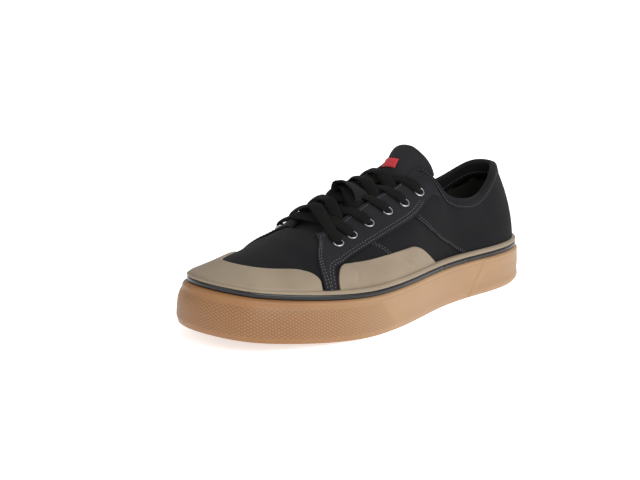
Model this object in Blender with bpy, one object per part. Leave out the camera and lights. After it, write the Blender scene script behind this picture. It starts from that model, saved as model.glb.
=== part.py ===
"""Left skateboarding shoe: gum cup sole, canvas upper, rubber toe cap, six pairs of eyelets.

The shoe stands on its sole with its toe along +X and its outer side along +Y.
"""
import math

import bmesh
import bpy
import numpy as np
from mathutils import Matrix, Vector
from mathutils.bvhtree import BVHTree

# Overall sizes of the shoe, in metres
LENGTH = 0.300           # outsole, heel to toe
BALL_WIDTH = 0.1074      # outsole across the ball
COLLAR_HEIGHT = 0.0885   # floor to the top of the collar at the heel
GAP = 0.0003             # clearance between pieces that lie on each other
LAYER_GAP = 0.0005       # and between the upper and what is sewn or glued on it

# Sole
SIDE_HEIGHT = 0.0272     # gum side wall above its bottom edge
SIDE_THICK = 0.0039      # cup wall at the heel and the sides
TOE_THICK = 0.0102       # cup wall at the toe, a bumper
FLOOR_THICK = 0.0130     # gum under the footbed
TOE_SPRING = 0.0112      # lift of the sole under the toe tip
SPRING_START = 0.64      # share of the length where the lift begins
SPRING_CURVE = 1.6
HEEL_BUMPER = 0.0009     # how far the heel bumper stands out
BUMPER_TOP = 0.215       # share of the length where its front edge meets the top of the gum
BUMPER_LOW = 0.280       # and where that edge meets the bottom
BUMPER_STEP = 0.0006     # half the width of the step at its front edge

# Strips round the top of the gum, and the footbed
BLACK_HEIGHT = 0.0036
TAN_HEIGHT = 0.0034
TAN_TOE_HEIGHT = 0.0017  # the tan strip is lower at the toe tip
TAN_LIP = 0.0003         # how far its top edge stands out
STRIP_THICK = 0.0026
INSOLE_THICK = 0.0046

# Upper and what is sewn or glued on it
WALL = 0.0020            # canvas and lining
RUBBER = 0.0012          # toe cap and side wrap
SUEDE = 0.0011           # eyestays
PANEL = 0.0009           # heel panel and collar band
BAND_DEPTH = 0.0065      # collar band below the rim
CAP_DEPTH = 0.0158       # toe cap above the strips
CAP_ENDS = (0.798, 0.800)       # shares of the length at its outer and its inner end
CAP_CORNER = 0.0200      # length of its rounded ends
WRAP_DEPTH = 0.0165      # side wrap above the strips
WRAP_ENDS = (0.415, 0.755)      # shares of the length at its rear and its front end
WRAP_CORNER = 0.0100     # length of its rounded front end
WRAP_SLOPE = 0.0350      # length of its low rear end
SEAM_GAP = 0.0009        # between the edges of pieces that lie side by side on the upper

# Tongue, laces and eyelets
TONGUE_THICK = 0.0032
TONGUE_GAP = 0.0018      # between the wall and the tongue under it
TONGUE_TUCK = 0.0120     # how far the tongue reaches under each facing
TONGUE_INSET = 0.0020    # where its second row lies under the facing
VAMP_TUCK = 0.0080       # how far it reaches under the vamp
EYELETS = 6              # on each side
EYELET_RADIUS = 0.0037
EYELET_HOLE = 0.0021
EYELET_HEIGHT = 0.0011
EYELET_SET = 0.0140      # eyelet centre to the facing edge
LACE_WIDTH = 0.0074
LACE_THICK = 0.0014
LACE_GAP = 0.0007        # below the laces
KEEPER_WIDTH = 0.0125
KEEPER_THICK = 0.0010
KEEPER_REACH = 0.80      # share of the way to each facing
LABEL_LENGTH = 0.0200    # across the tongue
LABEL_DEPTH = 0.0070     # along the tongue
LABEL_THICK = 0.0006
LABEL_PLACE = (0.575, 0.875)    # its centre across and along the tongue

# Outline of the sole from heel to toe: along as a share of LENGTH,
# outer and inner half widths as shares of BALL_WIDTH
TIP_SIDE = -0.0675       # the toe tip lies towards the inner side
OUTLINE_COLUMNS = ("along", "outer", "inner")
OUTLINE = (
    (0.020, 0.172, 0.169),
    (0.060, 0.277, 0.272),
    (0.120, 0.339, 0.342),
    (0.200, 0.363, 0.370),
    (0.300, 0.373, 0.356),
    (0.400, 0.417, 0.337),
    (0.500, 0.491, 0.346),
    (0.600, 0.547, 0.393),
    (0.680, 0.555, 0.445),
    (0.760, 0.525, 0.478),
    (0.830, 0.471, 0.478),
    (0.890, 0.409, 0.445),
    (0.945, 0.318, 0.372),
    (0.982, 0.164, 0.256),
)

# Rings of the gum wall from the floor up: height as a share of SIDE_HEIGHT, and how far
# each ring lies inside the outline, as a share of SIDE_THICK at the sides and of TOE_THICK
# at the toe; bumper tells how much of the heel bumper the ring takes
SOLE_RINGS = (
    # height, side, toe, bumper
    (0.000, 0.36, 0.060, 0.0),
    (0.085, 0.08, 0.000, 1.0),
    (0.300, 0.00, 0.000, 1.0),
    (0.520, 0.00, 0.060, 1.0),
    (0.740, 0.00, 0.215, 1.0),
    (0.900, 0.02, 0.380, 1.0),
    (0.975, 0.12, 0.490, 0.6),
    (1.000, 0.30, 0.600, 0.0),
)
STRIP_FACE = (0.33, 0.745)   # outer face of the strips inside the outline, side and toe

# Sections of the upper from heel to toe. foot is the share of LENGTH where the section
# leaves the sole; the top point is along as a share of LENGTH, across as a share of
# BALL_WIDTH and high as a share of COLLAR_HEIGHT, for the outer and the inner side;
# lean is in degrees outwards at the foot and inwards at the top, and the pulls are
# shares of the section's length
SECTION_COLUMNS = ("foot", "along", "outer", "outer_high", "inner", "inner_high",
                   "foot_lean", "foot_pull", "top_lean", "top_pull")
SECTIONS = (
    (0.000, 0.0580, 0.000, 1.000, 0.000, 1.000, -3, 0.35, 25, 0.35),
    (0.050, 0.0867, 0.108, 1.000, 0.138, 0.993, -3, 0.35, 25, 0.35),
    (0.120, 0.1310, 0.190, 0.935, 0.236, 0.887, -3, 0.35, 16, 0.35),
    (0.200, 0.1960, 0.242, 0.812, 0.265, 0.826, -3, 0.35, 12, 0.35),
    (0.270, 0.2670, 0.270, 0.802, 0.279, 0.836, -4, 0.35, 12, 0.35),
    (0.335, 0.3330, 0.265, 0.888, 0.272, 0.915, -4, 0.36, 16, 0.35),
    (0.385, 0.3630, 0.228, 1.034, 0.240, 1.045, -4, 0.38, 28, 0.35),
    (0.412, 0.3780, 0.160, 1.086, 0.163, 1.090, -4, 0.40, 50, 0.32),
    (0.440, 0.4150, 0.158, 1.032, 0.158, 1.048, -4, 0.40, 60, 0.35),
    (0.520, 0.5000, 0.161, 0.934, 0.158, 0.970, -4, 0.40, 61, 0.38),
    (0.600, 0.6000, 0.166, 0.824, 0.161, 0.872, -4, 0.40, 61, 0.40),
    (0.680, 0.6740, 0.172, 0.729, 0.165, 0.762, -3, 0.40, 61, 0.40),
    (0.735, 0.7000, 0.154, 0.710, 0.150, 0.719, -10, 0.34, 67, 0.38),
    (0.800, 0.7120, 0.102, 0.720, 0.102, 0.724, -32, 0.26, 70, 0.36),
    (0.880, 0.7165, 0.047, 0.730, 0.047, 0.732, -56, 0.22, 70, 0.36),
    (1.000, 0.7175, 0.000, 0.7345, 0.000, 0.7345, -70, 0.22, 68, 0.35),
)
CORNER_FEET = (0.365, 0.385, 0.398, 0.412, 0.428, 0.735)   # near the rim's corners, each on a column
BAND_START = 0.412             # where the collar band ends, at one of them

# Eyestay as a strip from the collar to the sole: its inner edge runs down the facing and
# the front of the leg, its outer edge below the eyelets and behind the leg. foot is a
# share of LENGTH as in the sections, up a share of the section's height
EYESTAY_COLUMNS = ("inner_foot", "inner_up", "outer_foot", "outer_up")
EYESTAY = (
    (0.445, 1.00, 0.368, 0.815),
    (0.490, 1.00, 0.425, 0.655),
    (0.545, 1.00, 0.500, 0.560),
    (0.600, 1.00, 0.565, 0.520),
    (0.650, 1.00, 0.625, 0.495),
    (0.700, 1.00, 0.672, 0.460),
    (0.738, 1.00, 0.700, 0.405),
    (0.757, 0.84, 0.727, 0.345),
    (0.782, 0.58, 0.752, 0.285),
    (0.790, 0.30, 0.759, 0.140),
    (0.792, 0.012, 0.759, 0.012),
)
EYELET_FEET = (0.689, 0.440)   # sections of the first and the last eyelet
PANEL_FOOT = 0.300             # heel panel's front edge at the sole
PANEL_TOP_FOOT = 0.470         # and where it meets the eyestay

# Free part of the tongue: centre and edges of each row from the facing up. along as a
# share of LENGTH, high as a share of COLLAR_HEIGHT, half as a share of BALL_WIDTH
TONGUE_SIDE = -0.004           # centre line of the free part, a share of BALL_WIDTH
TONGUE_TOP = (
    # along, high, half, edge_along, edge_high
    (0.4050, 1.135, 0.188, 0.3660, 1.000),
    (0.3830, 1.215, 0.208, 0.3490, 1.080),
    (0.3690, 1.257, 0.174, 0.3530, 1.165),
    (0.3640, 1.274, 0.090, 0.3590, 1.244),
)
# and its rows between the facings: foot as in the sections, the rise of the crest in metres,
# and how much of TONGUE_TUCK the row takes
TONGUE_ROWS = (
    (0.700, 0.0010, 0.55),
    (0.640, 0.0018, 0.90),
    (0.580, 0.0026, 1.00),
    (0.520, 0.0034, 1.00),
    (0.460, 0.0044, 1.00),
)

# Meshes
COLUMNS_A_SIDE = 36
COLUMN_ROOM = 0.0045     # least distance between two columns
BEND_SHARE = 0.38        # how much the columns gather where the outline turns
WALL_ROWS = 7

COLOURS = {
    # name: red, green, blue, roughness, metallic
    "gum": (0.60, 0.34, 0.13, 0.55, 0.0),
    "black_rubber": (0.015, 0.015, 0.018, 0.25, 0.0),
    "tan_rubber": (0.30, 0.24, 0.17, 0.60, 0.0),
    "canvas": (0.012, 0.012, 0.014, 0.90, 0.0),
    "suede": (0.016, 0.015, 0.017, 0.95, 0.0),
    "footbed": (0.030, 0.030, 0.025, 0.90, 0.0),
    "lace": (0.010, 0.010, 0.010, 0.85, 0.0),
    "eyelet_metal": (0.22, 0.23, 0.24, 0.35, 1.0),
    "label_red": (0.55, 0.03, 0.04, 0.80, 0.0),
}


def clear_scene():
    for thing in list(bpy.data.objects):
        bpy.data.objects.remove(thing, do_unlink=True)


def material(name):
    """One Principled material, made once and then reused."""
    found = bpy.data.materials.get(name)
    if found:
        return found
    red, green, blue, roughness, metallic = COLOURS[name]
    made = bpy.data.materials.new(name)
    made.use_nodes = True
    shader = made.node_tree.nodes["Principled BSDF"]
    shader.inputs["Base Color"].default_value = (red, green, blue, 1.0)
    shader.inputs["Roughness"].default_value = roughness
    shader.inputs["Metallic"].default_value = metallic
    made.diffuse_color = (red, green, blue, 1.0)
    return made


def column(table, names, name):
    return np.array([row[names.index(name)] for row in table], float)


def blend(value):
    """Smooth step from 0 to 1."""
    value = np.clip(value, 0.0, 1.0)
    return value * value * (3.0 - 2.0 * value)


def spline(knots, values, at, period=0.0):
    """Cubic curve through the values at the knots, closed over a period if one is given."""
    knots = np.asarray(knots, float)
    values = np.asarray(values, float).reshape(len(knots), -1)
    at = np.asarray(at, float)
    if period:
        reach = min(6, len(knots))
        knots = np.concatenate([knots[-reach:] - period, knots, knots[:reach] + period])
        values = np.concatenate([values[-reach:], values, values[:reach]])
        at = at % period
    count = len(knots)
    step = np.diff(knots)
    rule = np.eye(count)
    pull = np.zeros_like(values)
    for i in range(1, count - 1):
        rule[i, i - 1:i + 2] = step[i - 1], 2.0 * (step[i - 1] + step[i]), step[i]
        slope_after = (values[i + 1] - values[i]) / step[i]
        slope_before = (values[i] - values[i - 1]) / step[i - 1]
        pull[i] = 6.0 * (slope_after - slope_before)
    bend = np.linalg.solve(rule, pull)
    i = np.clip(np.searchsorted(knots, at, side="right") - 1, 0, count - 2)
    h = step[i][..., None]
    a = (knots[i + 1] - at)[..., None]
    b = (at - knots[i])[..., None]
    cubic = (bend[i] * a ** 3 + bend[i + 1] * b ** 3) / (6.0 * h)
    straight = (values[i] / h - bend[i] * h / 6.0) * a + (values[i + 1] / h - bend[i + 1] * h / 6.0) * b
    return cubic + straight


def unit(vectors):
    return vectors / np.maximum(np.linalg.norm(vectors, axis=-1, keepdims=True), 1e-12)


# Outline of the sole, as a closed curve: u runs from 0 at the heel over the outer side to the
# tip and back over the inner side to 1

def outline_points():
    """The table's points in metres, from the heel over the outer side and back."""
    along = column(OUTLINE, OUTLINE_COLUMNS, "along") * LENGTH
    outer = column(OUTLINE, OUTLINE_COLUMNS, "outer") * BALL_WIDTH
    inner = column(OUTLINE, OUTLINE_COLUMNS, "inner") * BALL_WIDTH
    heel = [[0.0, 0.0]]
    tip = [[LENGTH, TIP_SIDE * BALL_WIDTH]]
    out = np.column_stack([along, outer])
    back = np.column_stack([along, -inner])[::-1]
    return np.concatenate([heel, out, tip, back])


def measure_outline(samples=2400):
    """Dense points of the outline, with the share of its length at each."""
    points = outline_points()
    knots = np.concatenate([[0.0], np.cumsum(np.linalg.norm(np.diff(points, axis=0), axis=1))])
    period = knots[-1] + np.linalg.norm(points[0] - points[-1])
    dense = spline(knots, points, np.linspace(0.0, period, samples, endpoint=False), period)
    closed = np.vstack([dense, dense[:1]])
    run = np.concatenate([[0.0], np.cumsum(np.linalg.norm(np.diff(closed, axis=0), axis=1))])
    return closed, run / run[-1], run[-1]


EDGE, EDGE_SHARE, EDGE_LENGTH = measure_outline()
TIP = int(np.argmax(EDGE[:, 0]))
U_TIP = EDGE_SHARE[TIP]
MIDDLE = (EDGE.min(axis=0) + EDGE.max(axis=0)) / 2.0 - np.array([HEEL_BUMPER / 2.0, 0.0])


def outline(u):
    """Point, outward normal and share of the length at each place round the sole."""
    u = np.asarray(u, float)
    small = 0.0008
    here = np.stack([np.interp(u % 1.0, EDGE_SHARE, EDGE[:, k]) for k in (0, 1)], axis=-1)
    ahead = np.stack([np.interp((u + small) % 1.0, EDGE_SHARE, EDGE[:, k]) for k in (0, 1)], axis=-1)
    behind = np.stack([np.interp((u - small) % 1.0, EDGE_SHARE, EDGE[:, k]) for k in (0, 1)], axis=-1)
    run = unit(ahead - behind)
    # the curve runs towards the toe on the outer side, so outwards is to its left
    normal = np.stack([-run[..., 1], run[..., 0]], axis=-1)
    return here, normal, here[..., 0] / LENGTH


def around(along, side):
    """Where the outline passes a share of the length, on the outer (+1) or the inner (-1) side."""
    if side > 0:
        return np.interp(along * LENGTH, np.maximum.accumulate(EDGE[:TIP + 1, 0]), EDGE_SHARE[:TIP + 1])
    back = EDGE[TIP:, 0][::-1]
    return np.interp(along * LENGTH, np.maximum.accumulate(back), EDGE_SHARE[TIP:][::-1])


def spread_columns():
    """Places of the mesh columns: even along the outline, and closer where it turns."""
    direction = np.unwrap(np.arctan2(np.diff(EDGE[:, 1]), np.diff(EDGE[:, 0])))
    turning = np.concatenate([[0.0], np.cumsum(np.abs(np.diff(direction))), [0.0]])
    turning[-1] = turning[-2]
    measure = EDGE_SHARE * (1.0 - BEND_SHARE) + turning / turning[-1] * BEND_SHARE
    halves = []
    for first, last in ((0, TIP), (TIP, len(EDGE) - 1)):
        even = np.linspace(measure[first], measure[last], COLUMNS_A_SIDE, endpoint=False)
        halves.append(np.interp(even, measure, EDGE_SHARE))
    corners = np.concatenate([around(np.array(CORNER_FEET), side) for side in (1, -1)])
    return merge_columns(np.concatenate(halves), corners, COLUMN_ROOM)


def merge_columns(columns, kept, room):
    """Both sets in order, without the columns that lie too near one of those kept."""
    near = np.abs(columns[:, None] - kept[None, :]).min(axis=1)
    return np.sort(np.concatenate([kept, columns[near > room / EDGE_LENGTH]]))


COLUMNS = spread_columns()


def toe_share(along):
    """0 at the heel and the sides, 1 at the toe tip."""
    return blend((along - 0.58) / 0.42)


def rise(along):
    """Lift of the sole over its flat part."""
    lifted = np.clip((along - SPRING_START) / (1.0 - SPRING_START), 0.0, None)
    return TOE_SPRING * lifted ** SPRING_CURVE


def inset_ring(u, side, toe, height, push=0.0):
    """Ring inside the outline at a height over the sole's bottom edge."""
    here, normal, along = outline(u)
    inset = side + (toe - side) * toe_share(along) - push
    flat = here - normal * inset[..., None]
    return np.concatenate([flat, (rise(along) + height)[..., None]], axis=-1)


INNER_SIDE = STRIP_FACE[0] * SIDE_THICK + STRIP_THICK   # inner face of the strips and the cup
INNER_TOE = STRIP_FACE[1] * TOE_THICK + STRIP_THICK
TAN_LOW = SIDE_HEIGHT + BLACK_HEIGHT                    # bottom of the tan strip


def foot_height(u):
    """Top of the tan strip, where the upper comes into view."""
    toe = toe_share(outline(u)[2])
    return TAN_LOW + TAN_HEIGHT + (TAN_TOE_HEIGHT - TAN_HEIGHT) * toe


# Surface of the upper: u as on the outline, v from 0 at the strips to 1 at the rim

def section_table():
    """Top points and tangents at each section, round the whole shoe, against u."""
    names = SECTION_COLUMNS
    rows = []
    last = len(SECTIONS) - 1
    order = [(i, 1) for i in range(last + 1)] + [(i, -1) for i in range(last - 1, 0, -1)]
    for i, side in order:
        row = dict(zip(names, SECTIONS[i]))
        across, high = ("outer", "outer_high") if side > 0 else ("inner", "inner_high")
        place = 0.0 if i == 0 else U_TIP if i == last else around(row["foot"], side)
        rows.append((place, row["along"] * LENGTH, side * row[across] * BALL_WIDTH,
                     row[high] * COLLAR_HEIGHT, row["foot_lean"], row["foot_pull"],
                     row["top_lean"], row["top_pull"]))
    return np.array(rows, float)


SECTION_TABLE = section_table()


def section_handles(u):
    """Four points of the section's curve at each place."""
    values = spline(SECTION_TABLE[:, 0], SECTION_TABLE[:, 1:], u, 1.0)
    top = values[:, 0:3]
    foot_lean = np.radians(values[:, 3])[:, None]
    foot_pull = values[:, 4][:, None]
    top_lean = np.radians(values[:, 5])[:, None]
    top_pull = values[:, 6][:, None]
    foot = inset_ring(u, INNER_SIDE + GAP, INNER_TOE + GAP, foot_height(u))
    _, normal, _ = outline(u)
    out_foot = np.column_stack([normal, np.zeros(len(u))])
    out_top = (foot - top) * np.array([1.0, 1.0, 0.0]) + out_foot * 0.02
    out_top = unit(out_top)
    up = np.array([0.0, 0.0, 1.0])
    size = np.linalg.norm(top - foot, axis=1, keepdims=True)
    low = foot + foot_pull * size * (np.cos(foot_lean) * up + np.sin(foot_lean) * out_foot)
    high = top - top_pull * size * (np.cos(top_lean) * up - np.sin(top_lean) * out_top)
    return foot, low, high, top


def skin(u, v):
    """Points of the upper's outer surface; v is the share of the section's length."""
    u, v = np.broadcast_arrays(np.asarray(u, float), np.asarray(v, float))
    flat_u = u.ravel() % 1.0
    flat_v = v.ravel()
    foot, low, high, top = section_handles(flat_u)
    steps = np.linspace(0.0, 1.0, 25)
    t = steps[:, None, None]
    curve = foot * (1 - t) ** 3 + low * 3 * t * (1 - t) ** 2 + high * 3 * t * t * (1 - t) + top * t ** 3
    run = np.cumsum(np.linalg.norm(np.diff(curve, axis=0), axis=2), axis=0)
    run = np.vstack([np.zeros(len(flat_u)), run]) / run[-1]
    t = np.array([np.interp(share, run[:, i], steps) for i, share in enumerate(flat_v)])[:, None]
    points = foot * (1 - t) ** 3 + low * 3 * t * (1 - t) ** 2 + high * 3 * t * t * (1 - t) + top * t ** 3
    return points.reshape(u.shape + (3,))


def girth(u):
    """Length of the section from the strips to the rim."""
    u = np.atleast_1d(np.asarray(u, float))
    steps = np.linspace(0.0, 1.0, 13)
    path = skin(u[:, None], steps[None, :])
    return np.linalg.norm(np.diff(path, axis=1), axis=2).sum(axis=1)


def lifted(u, v, lift):
    """Points a distance off the upper's outer surface, inwards where lift is negative."""
    u, v = np.broadcast_arrays(np.asarray(u, float), np.asarray(v, float))
    small_u, small_v = 0.0006, 0.004
    along_u = skin(u + small_u, v) - skin(u - small_u, v)
    along_v = skin(u, np.clip(v + small_v, 0, 1)) - skin(u, np.clip(v - small_v, 0, 1))
    normal = unit(np.cross(along_v, along_u))
    return skin(u, v) + normal * lift


def add_object(name, mesh, paint, smooth_angle=40.0):
    mesh.materials.append(material(paint))
    mesh.shade_smooth()
    mesh.set_sharp_from_angle(angle=math.radians(smooth_angle))
    made = bpy.data.objects.new(name, mesh)
    bpy.context.scene.collection.objects.link(made)
    return made


def placed(points):
    """From the heel's frame to the shoe's own frame, with its origin under the middle."""
    moved = np.array(points, float)
    moved[..., 0] -= MIDDLE[0]
    moved[..., 1] -= MIDDLE[1]
    return moved


def finish_body(name, body, paint):
    bmesh.ops.recalc_face_normals(body, faces=body.faces)
    mesh = bpy.data.meshes.new(name)
    body.to_mesh(mesh)
    body.free()
    return add_object(name, mesh, paint)


def quad_rows(body, lower, upper, closed=True):
    count = len(lower)
    for i in range(count if closed else count - 1):
        j = (i + 1) % count
        body.faces.new((lower[i], lower[j], upper[j], upper[i]))


def zip_across(body, ring):
    """Fill a ring from heel to toe with triangles between its two sides."""
    tip = max(range(len(ring)), key=lambda i: ring[i].co.x)
    left = ring[1:tip]
    right = ring[:tip:-1]
    i = j = 0
    last_left = last_right = ring[0]
    while i < len(left) or j < len(right):
        take_left = j >= len(right) or (i < len(left) and left[i].co.x <= right[j].co.x)
        new = left[i] if take_left else right[j]
        if last_left is last_right:
            other = right[j] if take_left else left[i]
            body.faces.new((ring[0], new, other))
            last_left, last_right = left[i], right[j]
            i, j = i + 1, j + 1
            continue
        body.faces.new((last_left, new, last_right))
        if take_left:
            last_left, i = new, i + 1
        else:
            last_right, j = new, j + 1
    body.faces.new((last_left, ring[tip], last_right))


def ring_body(name, rings, paint, filled):
    """Solid from rings round the shoe: filled at both ends, or closed on itself."""
    body = bmesh.new()
    made = [[body.verts.new(p) for p in placed(ring)] for ring in rings]
    for lower, upper in zip(made, made[1:]):
        quad_rows(body, lower, upper)
    if filled:
        zip_across(body, made[0])
        zip_across(body, made[-1])
    else:
        quad_rows(body, made[-1], made[0])
    return finish_body(name, body, paint)


def sheet_body(name, outside, inside, paint, already_placed=False):
    """Solid between two grids of points."""
    body = bmesh.new()
    count = outside.shape[1]
    if not already_placed:
        outside, inside = placed(outside), placed(inside)
    outer = [[body.verts.new(p) for p in row] for row in outside]
    inner = [[body.verts.new(p) for p in row] for row in inside]
    for grid in (outer, inner):
        for lower, upper in zip(grid, grid[1:]):
            quad_rows(body, lower, upper, closed=False)
    for first, second in ((outer[0], inner[0]), (outer[-1], inner[-1])):
        quad_rows(body, first, second, closed=False)
    for k in (0, count - 1):
        side_outer = [row[k] for row in outer]
        side_inner = [row[k] for row in inner]
        quad_rows(body, side_outer, side_inner, closed=False)
    return finish_body(name, body, paint)


def patch(name, u, v, low, high, paint):
    """Layer that follows the upper, between two distances off its surface."""
    return sheet_body(name, lifted(u, v, high), lifted(u, v, low), paint)


# Sole, strips and footbed

def bumper_edge(height):
    """Share of the length where the bumper's front edge lies at a height on the wall."""
    return BUMPER_LOW + (BUMPER_TOP - BUMPER_LOW) * height


def bumper_columns(height):
    """Columns moved so that two of them follow the bumper's slanting front edge."""
    moved = COLUMNS.copy()
    push = np.zeros(len(COLUMNS))
    reach = 0.07
    half_step = BUMPER_STEP / EDGE_LENGTH
    for side in (1, -1):
        middle = around(bumper_edge(0.5), side)
        edge = around(bumper_edge(height), side)
        behind = np.where(COLUMNS < middle)[0] if side > 0 else np.where(COLUMNS > middle)[0]
        nearest = behind[-1] if side > 0 else behind[0]
        ahead = nearest + side
        moved += (edge - middle) * np.clip(1.0 - np.abs(COLUMNS - middle) / reach, 0.0, 1.0)
        moved[nearest] = edge - side * half_step
        moved[ahead] = edge + side * half_step
        push[behind] = HEEL_BUMPER
    return moved, push


def make_outsole():
    rings = []
    for height, side, toe, bumper in SOLE_RINGS:
        columns, push = bumper_columns(height)
        rings.append(inset_ring(columns, side * SIDE_THICK, toe * TOE_THICK,
                                height * SIDE_HEIGHT, push * bumper))
    rings.append(inset_ring(COLUMNS, INNER_SIDE, INNER_TOE, SIDE_HEIGHT))
    rings.append(inset_ring(COLUMNS, INNER_SIDE, INNER_TOE, FLOOR_THICK))
    return ring_body("outsole", rings, "gum", filled=True)


def make_strip(name, low, high, lip, paint):
    """Strip round the upper, which may stand out a little at its top edge."""
    side = STRIP_FACE[0] * SIDE_THICK
    toe = STRIP_FACE[1] * TOE_THICK
    low = low + GAP
    rings = [
        inset_ring(COLUMNS, INNER_SIDE, INNER_TOE, low),
        inset_ring(COLUMNS, side, toe, low),
        inset_ring(COLUMNS, side - lip, toe - lip, high),
        inset_ring(COLUMNS, INNER_SIDE, INNER_TOE, high),
    ]
    return ring_body(name, rings, paint, filled=False)


def make_insole():
    side = INNER_SIDE + GAP + WALL + GAP
    toe = INNER_TOE + GAP + WALL + GAP
    low = FLOOR_THICK + GAP
    rings = [
        inset_ring(COLUMNS, side, toe, low),
        inset_ring(COLUMNS, side + INSOLE_THICK * 0.4, toe + INSOLE_THICK * 0.4, low + INSOLE_THICK),
    ]
    return ring_body("insole", rings, "footbed", filled=True)


# Upper and its overlays

def make_upper():
    """Hollow wall: a straight skirt inside the sole cup, then the shaped wall up to the rim."""
    shares = np.linspace(0.0, 1.0, WALL_ROWS + 1)
    skirt = FLOOR_THICK + GAP
    rings = [inset_ring(COLUMNS, INNER_SIDE + GAP, INNER_TOE + GAP, skirt)]
    rings += [skin(COLUMNS, share) for share in shares]
    rings += [lifted(COLUMNS, share, -WALL) for share in shares[::-1]]
    rings.append(inset_ring(COLUMNS, INNER_SIDE + GAP + WALL, INNER_TOE + GAP + WALL, skirt))
    return ring_body("upper", rings, "canvas", filled=False)


def edge_share(u, depth):
    """v at a depth below the rim."""
    return 1.0 - depth / girth(u)


def foot_share(u, depth):
    """v at a height above the strips."""
    return depth / girth(u)


def wall_columns(first, last, extra=()):
    """The wall's columns between two places, with both ends and some more places."""
    own = np.array([first, last] + list(extra))
    wall = np.concatenate([COLUMNS - 1.0, COLUMNS])
    return merge_columns(wall[(wall > first) & (wall < last)], own, COLUMN_ROOM / 2.0)


def quarter_round(distance, radius):
    """Rises from 0 to 1 as a quarter of an ellipse."""
    near = np.clip(distance / radius, 0.0, 1.0)
    return np.sqrt(1.0 - (1.0 - near) ** 2)


def low_patch(name, u, depth):
    """Rubber patch from the strips up to a depth given at each column."""
    rows = np.linspace(0.0, 1.0, 4)[:, None]
    v = foot_share(u, GAP + (depth - GAP) * rows)
    return patch(name, np.broadcast_to(u, v.shape), v, LAYER_GAP, LAYER_GAP + RUBBER, "tan_rubber")


def make_toe_cap():
    """Rubber cap with a wavy top edge and rounded ends."""
    first, last = around(CAP_ENDS[0], 1), around(CAP_ENDS[1], -1)
    corner = np.array([0.08, 0.25, 0.55]) * CAP_CORNER / EDGE_LENGTH
    u = wall_columns(first, last, np.concatenate([first + corner, last - corner]))
    wave = 1.0 - 0.05 * np.cos(4.0 * math.pi * (u - first) / (last - first))
    distance = np.minimum(u - first, last - u) * EDGE_LENGTH
    return low_patch("toe_cap", u, CAP_DEPTH * wave * (0.35 + 0.65 * quarter_round(distance, CAP_CORNER)))


def make_side_wrap():
    """Rubber patch on the outer quarter, long and low at its rear end."""
    first, last = around(WRAP_ENDS[0], 1), around(WRAP_ENDS[1], 1)
    corner = np.array([0.12, 0.4, 0.8]) * WRAP_CORNER / EDGE_LENGTH
    slope = np.array([0.25, 0.5]) * WRAP_SLOPE / EDGE_LENGTH
    u = wall_columns(first, last, np.concatenate([first + slope, last - corner]))
    rear = np.sin(np.clip((u - first) * EDGE_LENGTH / WRAP_SLOPE, 0.0, 1.0) * math.pi / 2.0)
    front = quarter_round((last - u) * EDGE_LENGTH, WRAP_CORNER)
    return low_patch("side_wrap", u, WRAP_DEPTH * (0.1 + 0.9 * np.minimum(rear, front)))


def eyestay_rails():
    """The eyestay's inner and outer edge from the collar to the sole, closest at the collar."""
    knots = np.linspace(0.0, 1.0, len(EYESTAY))
    steps = np.concatenate([np.linspace(0.0, 0.18, 8), np.linspace(0.18, 1.0, 18)[1:]])
    return {key: spline(knots, column(EYESTAY, EYESTAY_COLUMNS, key), steps)[:, 0] for key in EYESTAY_COLUMNS}


def make_eyestay(name, side):
    """Suede facing that runs from the collar along the eyelets and down to the sole."""
    table = eyestay_rails()
    across = np.linspace(0.0, 1.0, 5)[:, None]
    inner_u, outer_u = around(table["inner_foot"], side), around(table["outer_foot"], side)
    u = inner_u + (outer_u - inner_u) * across
    v = table["inner_up"] + (table["outer_up"] - table["inner_up"]) * across
    return patch(name, u, np.clip(v, 0.0, 1.0), LAYER_GAP, LAYER_GAP + SUEDE, "suede")


def band_edge(foot, u):
    """v of the collar band's lower edge, tapering out along the top of the eyestay."""
    first, last = EYESTAY[0][2], EYESTAY[0][0]
    taper = np.clip((last - foot) / (last - first), 0.0, 1.0)
    return 1.0 - BAND_DEPTH / girth(u) * taper


def rear_columns(feet):
    """The wall's columns behind a share of the length, from the inner side over the heel, with
    a column at each further share of the length too."""
    ends = [(around(foot, -1) - 1.0, around(foot, 1)) for foot in feet]
    return wall_columns(*ends[0], extra=[place for pair in ends[1:] for place in pair])


def make_collar_band():
    """Binding round the rim, from one facing over the heel to the other."""
    u = rear_columns([BAND_START])
    low = band_edge(outline(u)[2], u)
    v = np.stack([low, np.ones_like(low)])
    return patch("collar_band", np.broadcast_to(u, v.shape), v, LAYER_GAP, LAYER_GAP + PANEL, "canvas")


def make_heel_panel():
    """Outer layer round the heel; its front edges slant down and back to the sole."""
    rails = eyestay_rails()
    corner = rails["outer_foot"][0] - SEAM_GAP / LENGTH
    behind = corner - COLUMN_ROOM / LENGTH
    top = rear_columns([PANEL_TOP_FOOT, corner, behind])
    top_foot = outline(top)[2]
    low_foot = top_foot * PANEL_FOOT / PANEL_TOP_FOOT
    low = np.where(top < 0.0, around(low_foot, -1) - 1.0, around(low_foot, 1))
    under_facing = top_foot > (corner + behind) / 2.0
    facing = np.interp(top_foot, rails["outer_foot"], rails["outer_up"])
    up = np.where(under_facing, facing, band_edge(top_foot, top)) - SEAM_GAP / girth(top)
    start = GAP / girth(low)
    rows = 1.0 - (1.0 - np.linspace(0.0, 1.0, 7)[:, None]) ** 1.5
    u = low + (top - low) * rows
    v = start + (up - start) * rows
    return patch("heel_panel", u, v, LAYER_GAP, LAYER_GAP + PANEL, "canvas")


# Tongue, with its label

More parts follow.
